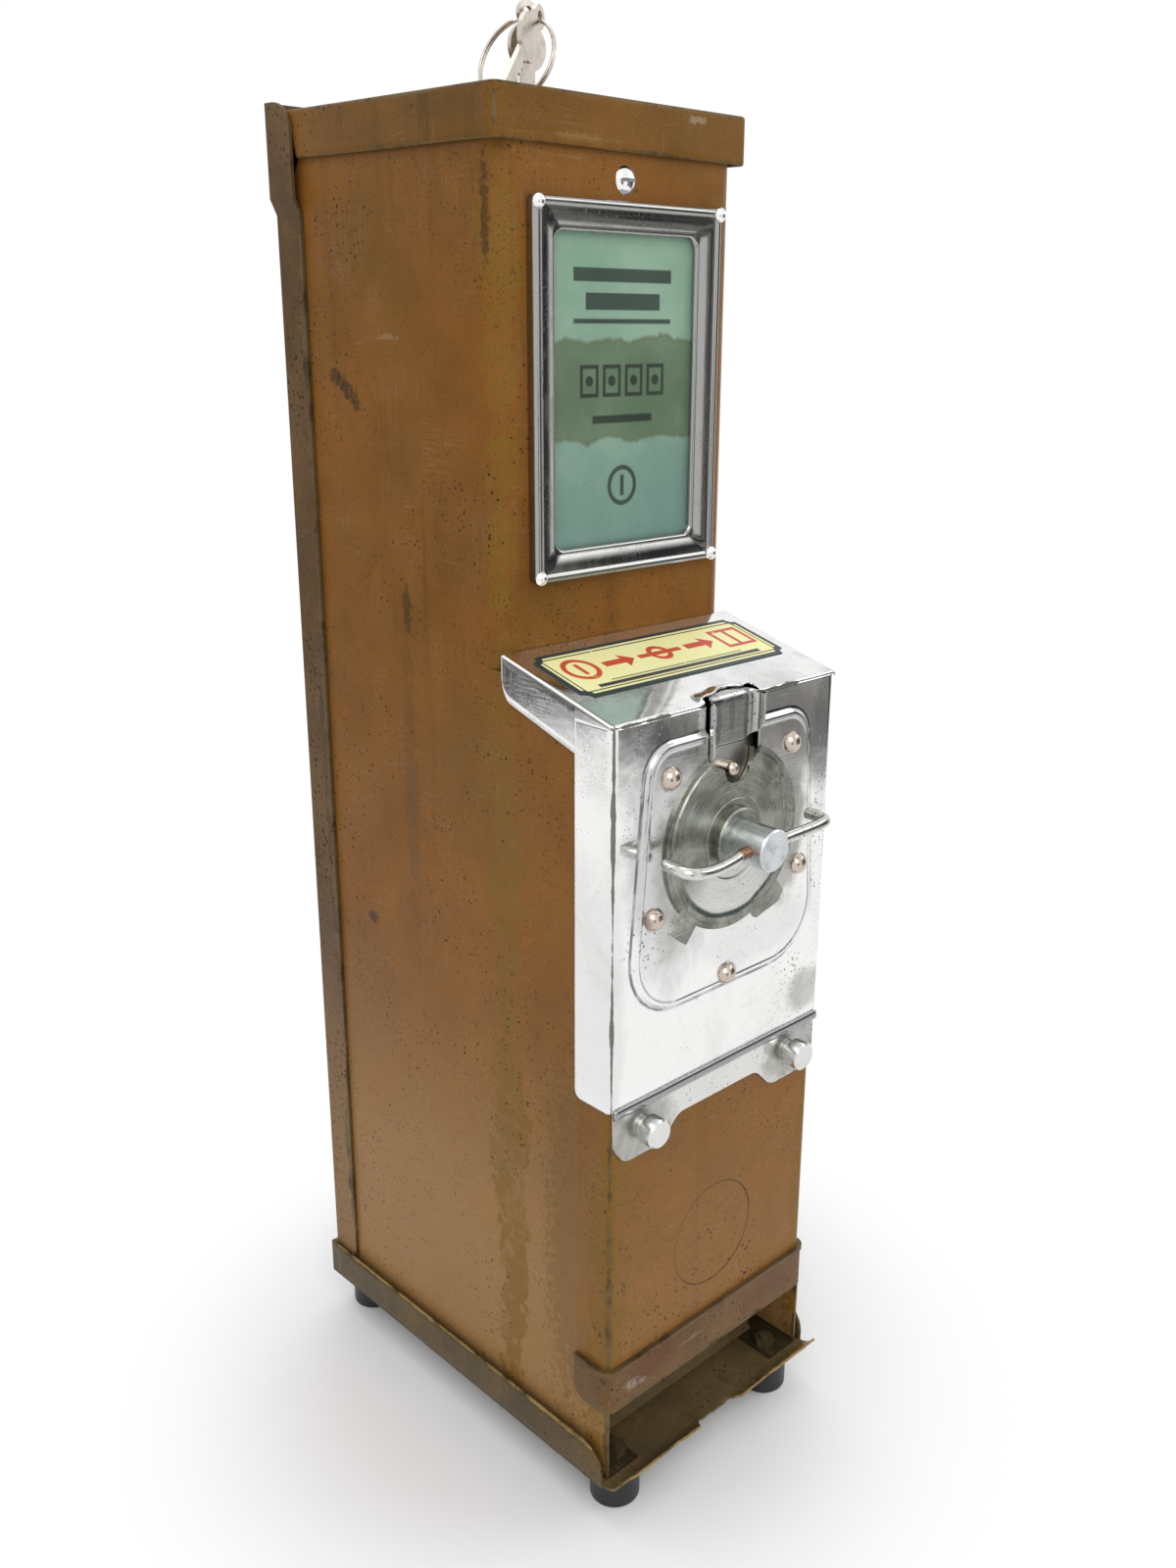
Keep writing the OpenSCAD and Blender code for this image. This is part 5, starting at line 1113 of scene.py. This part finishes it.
def paints():
    """Every bronze enamel of the machine, by the piece that carries it. The case's spots
    are the marks on its left side: a scuff, scratches, runs and stains."""
    bronze = dict(base=(0.220, 0.088, 0.015), dark=(0.150, 0.066, 0.012), light=(0.270, 0.112, 0.022))
    scuff = ((62.5, 379.2, 3.4), (59.2, 377.2, 3.6), (56.2, 375.2, 3.4), (53.4, 373.0, 3.0),
             (51.2, 370.8, 2.2))
    stains = (*((Y, y, z, reach, 2.4, (0.035, 0.023, 0.012), 0.62) for y, z, reach in scuff),
              (Y, 33, 392, 6.0, 1.0, (0.34, 0.24, 0.13), 0.35),
              (Y, -16.5, 428, 1.4, 16, (0.050, 0.028, 0.012), 0.7),
              (Y, 27, 306, 2.2, 8, (0.040, 0.026, 0.014), 0.6),
              (Y, 55, 187, 3, 2.5, (0.045, 0.025, 0.02), 0.8),
              (Y, 28, 245, 4, 50, (0.085, 0.050, 0.020), 0.35),
              (Y, -52, 100, 12, 70, (0.110, 0.070, 0.016), 0.45))
    band_spots = ((X, -41, 51.5, 3.4, 2.2, (0.42, 0.36, 0.30), 0.5),
                  (X, -36, 50.0, 2.6, 1.4, (0.38, 0.31, 0.25), 0.4),
                  (X, -12, 53.5, 7.0, 0.8, (0.30, 0.22, 0.15), 0.35),
                  (X, -30, 55, 14, 6.0, (0.120, 0.040, 0.018), 0.55),
                  (X, 30, 52, 20, 5.0, (0.130, 0.050, 0.022), 0.4))
    lid_spots = ((X, 29, 457.8, 4.5, 1.2, (0.36, 0.29, 0.19), 0.45),
                 (X, -20, 449.0, 12, 0.9, (0.30, 0.20, 0.08), 0.3))
    lid_edges = [(Z, LID_TOP, X, LID_X, 0.9), (Z, LID_TOP, Y, LID_FRONT, 0.9),
                 (Z, LID_TOP - LID_SKIRT, 0.7), (X, LID_X, Y, LID_FRONT, 1.2)]
    return {
        # Corner bands on the case and the lower front are a painted olive-gold sheen.
        "case": bronze_paint("bronze_paint", edges=[upright(FRONT_Y, 1.1), (Z, CASE_TOP, 1.2)],
                             pits=0.64, spots=stains, corner_sheen=[upright(UPPER_Y, 6), upright(FRONT_Y, 6)],
                             pale_low=0.85, dark_below=17.2, **bronze),
        "front": bronze_paint("bronze_front", edges=[upright(FRONT_Y, 1.0)], pits=0.66,
                              corner_sheen=[upright(FRONT_Y, 6)], streaks=0.3, pale_low=0.3,
                              plug=(91.2, 19.4), **bronze),
        "lid": bronze_paint("bronze_lid", edges=lid_edges, spots=lid_spots, pits=0.56,
                            base=(0.180, 0.079, 0.013), dark=(0.110, 0.055, 0.010),
                            light=(0.235, 0.102, 0.018)),
        "band": bronze_paint("band_paint", edges=[(Z, 44, 1.2), (Z, 61, 1.2)], pits=0.62,
                             spots=band_spots, base=(0.150, 0.080, 0.032),
                             dark=(0.085, 0.046, 0.022), light=(0.20, 0.115, 0.052)),
        "back": bronze_paint("dark_paint", edges=[(Y, 76.7, 1.8)], pits=0.85, pale_low=0.6,
                             base=(0.115, 0.062, 0.024), dark=(0.060, 0.040, 0.018),
                             light=(0.175, 0.095, 0.036)),
        "tray": bronze_paint("tray_paint", edges=[(Z, 29.3, 0.7), (Z, 19.5, Y, -79.7, 3.4)], pits=0.68,
                             bare=(0.40, 0.27, 0.10), base=(0.115, 0.078, 0.036),
                             dark=(0.055, 0.046, 0.025), light=(0.19, 0.125, 0.052)),
        "grime": bronze_paint("grimy_screws", base=(0.060, 0.045, 0.022), dark=(0.030, 0.024, 0.013),
                              light=(0.10, 0.072, 0.035)),
    }


def plates():
    """Every bright plating, by the piece that carries it."""
    rivets = [(-28.5, 266.7), (28.5, 266.7), (-34.8, 222.3), (34.8, 222.3), (0, 192.7)]
    return {
        "hood": bright_plate(
            # The pad's outline carries painted shade lines along its step.
            "plated_sheet", outline="pad_line", scratch=0.7,
            # Grey patches on the upper pad and round the rivets: dull plating and painted grey reflection.
            worn_and_reflection_spots=[(0, 262, 19, 20, 0.9), (28, 236, 10, 26, 0.75), (-25, 235, 12, 30, 0.55),
                        (43, 172, 12, 9, 0.6)] + [(x, z, 4.5, 4.5, 0.8) for x, z in rivets],
            pitted=((30, 176, 30, 16), (47, 240, 7, 45), (-36, 215, 12, 12)),
            # Painted dark reflections on the hood's plating.
            dark_reflections_and_rust=((-26, 245, 22, 46, 0.70), (20, 272, 34, 22, 0.55), (48, 268, 9, 22, 0.85),
                   (-52, 200, 7, 50, 0.25), (10, 205, 30, 12, 0.25)),
            # Dark lines of painted shade at the hem, the front's side folds and the top bend.
            edges=[(Z, HOOD_LOW, 0.5), (X, 50.7, Y, -71.9, 0.32), (Z, 286.2, Y, -72.0, 0.5)]),
        "trim": bright_plate("plated_trim", haze=0.3, pits=0.45),
        # Hem: the hood's plating made much darker, as painted shade along the folded hem.
        "hem": bright_plate("plated_hem", base=(0.34, 0.35, 0.36), haze=0.6, pits=0.6, scratch=1.0),
        # Window moulding: the hood's plating with a dark base, as painted dark reflection.
        "moulding": bright_plate("window_plate", base=(0.38, 0.38, 0.365), haze=0.9, pits=0.5, scratch=1.0),
        "wire": bright_plate("handle_plate", base=(0.66, 0.65, 0.62), haze=0.6, pits=0.9, scratch=0.8,
                             # A rust spot where the wire enters the hub.
                             dark_reflections_and_rust=((-8.5, 240.5, 3.5, 6, 0.9),), shade=(0.26, 0.10, 0.035)),
        "channel": bright_plate("channel_plate", base=(0.52, 0.52, 0.51), haze=0.9, pits=0.8, scratch=1.0,
                                # Dark bands on the coin channel's walls: painted dark reflection.
                                dark_reflections_and_rust=((-7, 280, 3, 14, 0.45), (8.5, 280, 2, 14, 0.6), (1, 281, 1.5, 6, 0.4)),
                                shade=(0.13, 0.14, 0.15)),
        "lugs": bright_plate("lug_plate", base=(0.72, 0.72, 0.70), haze=0.6, pits=0.75,
                             worn_and_reflection_spots=[(x, 150, 20, 13, 0.8) for x in (-40, 40)]),
    }


def build():
    paint, plate = paints(), plates()
    # The dial plate carries the painted reflection and crescent shadow below the axis.
    worn = turned_plate("worn_plate", (0.42, 0.425, 0.38), (0.13, 0.14, 0.115), 0.24, 0.48, painted_bright_reflection=0.95)
    key_mat = plain_metal("key_nickel", (0.60, 0.55, 0.49), 0.28, (0.25, 0.16, 0.10), 0.5)
    zinc = plain_metal("zinc_steel", (0.52, 0.52, 0.50), 0.38, (0.18, 0.15, 0.11), 0.5)

    dress(["case_shell"], paint["case"])
    dress(["lower_front", "front_plug"], paint["front"])
    dress(["front_band"], paint["band"])
    dress(["back_plate"], paint["back"])
    dress(["delivery_apron"], paint["tray"])
    dress(["rubber_feet"], black_rubber())
    dress(["foot_screws"], paint["grime"])
    dress(["back_screws", "lid_leaf", "hinge_rail", "hinge_pin", "lock_cam", "lock_keeper",
           "mechanism_frame", "knob_studs", "crank_arm", "rocker", "ejector_slide", "magazine_bed",
           "magazine_guides", "coin_duct", "coin_box"], zinc)
    dress(["lock_body", "window_screws", "top_screw"], plate["trim"])
    dress(["lug_plate"], plate["lugs"])
    dress(["key", "spare_key"], key_mat)
    dress(["dial_plate", "bearing_collar"], worn)
    dress(["lock_plug"], plain_metal("lock_brass", (0.66, 0.48, 0.20), 0.3, (0.22, 0.14, 0.06), 0.5))
    dress(["coin_wheel"], plain_metal("wheel_steel", (0.30, 0.27, 0.22), 0.36, (0.07, 0.055, 0.04), 0.7))
    dress(["spindle"], plain_metal("hub_steel", (0.70, 0.73, 0.75), 0.26, (0.22, 0.20, 0.17), 0.45))
    dress(["panel_rivets", "coin_feeler"],
          plain_metal("rivet_nickel", (0.60, 0.51, 0.43), 0.17, (0.16, 0.11, 0.075), 0.6))
    dress(["left_thumb_nut", "right_thumb_nut"],
          plain_metal("knob_nickel", (0.74, 0.74, 0.73), 0.20, (0.30, 0.26, 0.22), 0.35))
    dress(["follower_weight"],
          plain_metal("cast_weight", (0.10, 0.10, 0.105), 0.55, (0.06, 0.045, 0.035), 0.5))
    dress(["next_folder", "stamp_folders"], folder_card())
    dress(["window_glass"], window_glass())
    dress(["window_card"], print_card())
    dress(["instruction_label"], hood_label())

    corner_strips(paint["case"])
    hood_front(plate["hood"])
    hood_top(plate["hood"])
    hood_hem(plate["hem"])
    coin_channel(plate["channel"])
    window_frame(plate["moulding"])
    handle(plate["wire"])
    key_ring(key_mat)
    tray(paint["tray"])
    lid_cap(paint["lid"])


def set_piece(name, points, faces, material):
    mesh = bpy.data.meshes.new(name)
    mesh.from_pydata(points, [], faces)
    mesh.materials.append(material)
    obj = bpy.data.objects.new(name, mesh)
    bpy.context.scene.collection.objects.link(obj)
    return obj


def seen_directly(t):
    """1 for rays from the camera, from gloss and through glass, 0 for light on dull surfaces."""
    path = t.add("ShaderNodeLightPath").outputs
    return t.most(path["Is Camera Ray"], path["Is Glossy Ray"], path["Is Transmission Ray"])


def pale_floor():
    """Pale floor that keeps the shadow near the object and turns to plain white away from
    it: the share of white grows with the distance from the middle."""
    mat, t, shader, vec = surface("studio_floor")
    tone = t.noise(vec, 3.0, 3.0)
    fill(t, shader, Base_Color=t.mix(tone, (0.90, 0.90, 0.90), (0.93, 0.93, 0.93)), Roughness=0.9)
    away = t.add("ShaderNodeVectorMath", {0: vec}, operation="LENGTH").outputs["Value"]
    white = t.times(t.span(away, 0.085, 0.185, 0.0, 1.0), seen_directly(t))
    glow = t.add("ShaderNodeEmission", {"Color": (1, 1, 1, 1), "Strength": 1.0}).outputs[0]
    mixed = t.add("ShaderNodeMixShader", {0: white, 1: shader.outputs[0], 2: glow}).outputs[0]
    t.tree.links.new(mixed, mat.node_tree.nodes["Material Output"].inputs["Surface"])
    s = 6.0
    set_piece("studio_floor", [(-s, -s, 0), (s, -s, 0), (s, s, 0), (-s, s, 0)], [(0, 1, 2, 3)], mat)


def gloss_board(name, centre, turn, half, height, dark, light):
    """Upright board that only gloss shows, so that bright metal has something darker than
    the floor in it. Its tone wanders between two greys and its ends fade out."""
    mat, t, _, vec = surface(name)
    c, k = math.cos(turn), math.sin(turn)
    local = t.moved(vec,
                    tuple(-v for v in (centre[0] * c + centre[1] * k, -centre[0] * k + centre[1] * c, 0)),
                    (0, 0, -turn))
    xyz = t.split(local)
    tone = t.noise(t.moved(vec, scale=(1, 1, 0.45)), 5.0, 3.0, 0.6, 0.8)
    colour = t.mix(t.span(tone, 0.38, 0.62), dark, light)
    ends = t.span(t.size(xyz[X]), half, half * 0.55)
    top = t.times(t.span(xyz[Z], height, height * 0.6), t.span(xyz[Z], 0.0, 0.06))
    glow = t.add("ShaderNodeEmission", {"Color": colour, "Strength": 1.0}).outputs[0]
    clear = t.add("ShaderNodeBsdfTransparent").outputs[0]
    mixed = t.add("ShaderNodeMixShader", {0: t.times(ends, top), 1: clear, 2: glow}).outputs[0]
    t.tree.links.new(mixed, mat.node_tree.nodes["Material Output"].inputs["Surface"])
    a = (centre[0] - half * c, centre[1] - half * k)
    b = (centre[0] + half * c, centre[1] + half * k)
    board = set_piece(name, [(*a, 0), (*b, 0), (*b, height), (*a, height)], [(0, 1, 2, 3)], mat)
    for kind in ("camera", "diffuse", "shadow", "transmission"):
        setattr(board, "visible_" + kind, False)


def studio():
    """Pale floor, a white world for what the camera and the gloss see, soft lamps, and
    boards that give the bright metal something to show."""
    pale_floor()
    gloss_board("studio_board_right", (0.55, -0.55), math.radians(48), 0.50, 0.75,
                (0.05, 0.05, 0.055), (0.40, 0.39, 0.37))
    gloss_board("studio_board_near", (-0.28, -0.85), math.radians(-12), 0.16, 0.45,
                (0.12, 0.12, 0.12), (0.34, 0.34, 0.33))
    gloss_board("studio_board_left", (-0.66, 0.60), math.radians(46), 0.50, 0.60,
                (0.06, 0.06, 0.06), (0.40, 0.40, 0.39))
    world = bpy.data.worlds.new("studio")
    bpy.context.scene.world = world
    world.use_nodes = True
    t = Tree(world.node_tree)
    back = world.node_tree.nodes["Background"]
    t.tree.links.new(t.mix(seen_directly(t), (0.72, 0.73, 0.75), (1, 1, 1)), back.inputs["Color"])
    back.inputs["Strength"].default_value = 1.0
    soft_light("key_light", (-1.0, -1.3, 1.5), (0, 0, 0.25), (1.2, 1.2), 12.5)
    soft_light("fill_light", (1.3, -0.9, 0.9), (0, 0, 0.25), (1.0, 1.0), 5.0)
    soft_light("top_light", (0.1, 0.5, 1.9), (0, 0, 0.2), (1.4, 1.4), 5.5)
    bpy.context.scene.view_settings.view_transform = "Standard"


place_camera()
build()
studio()
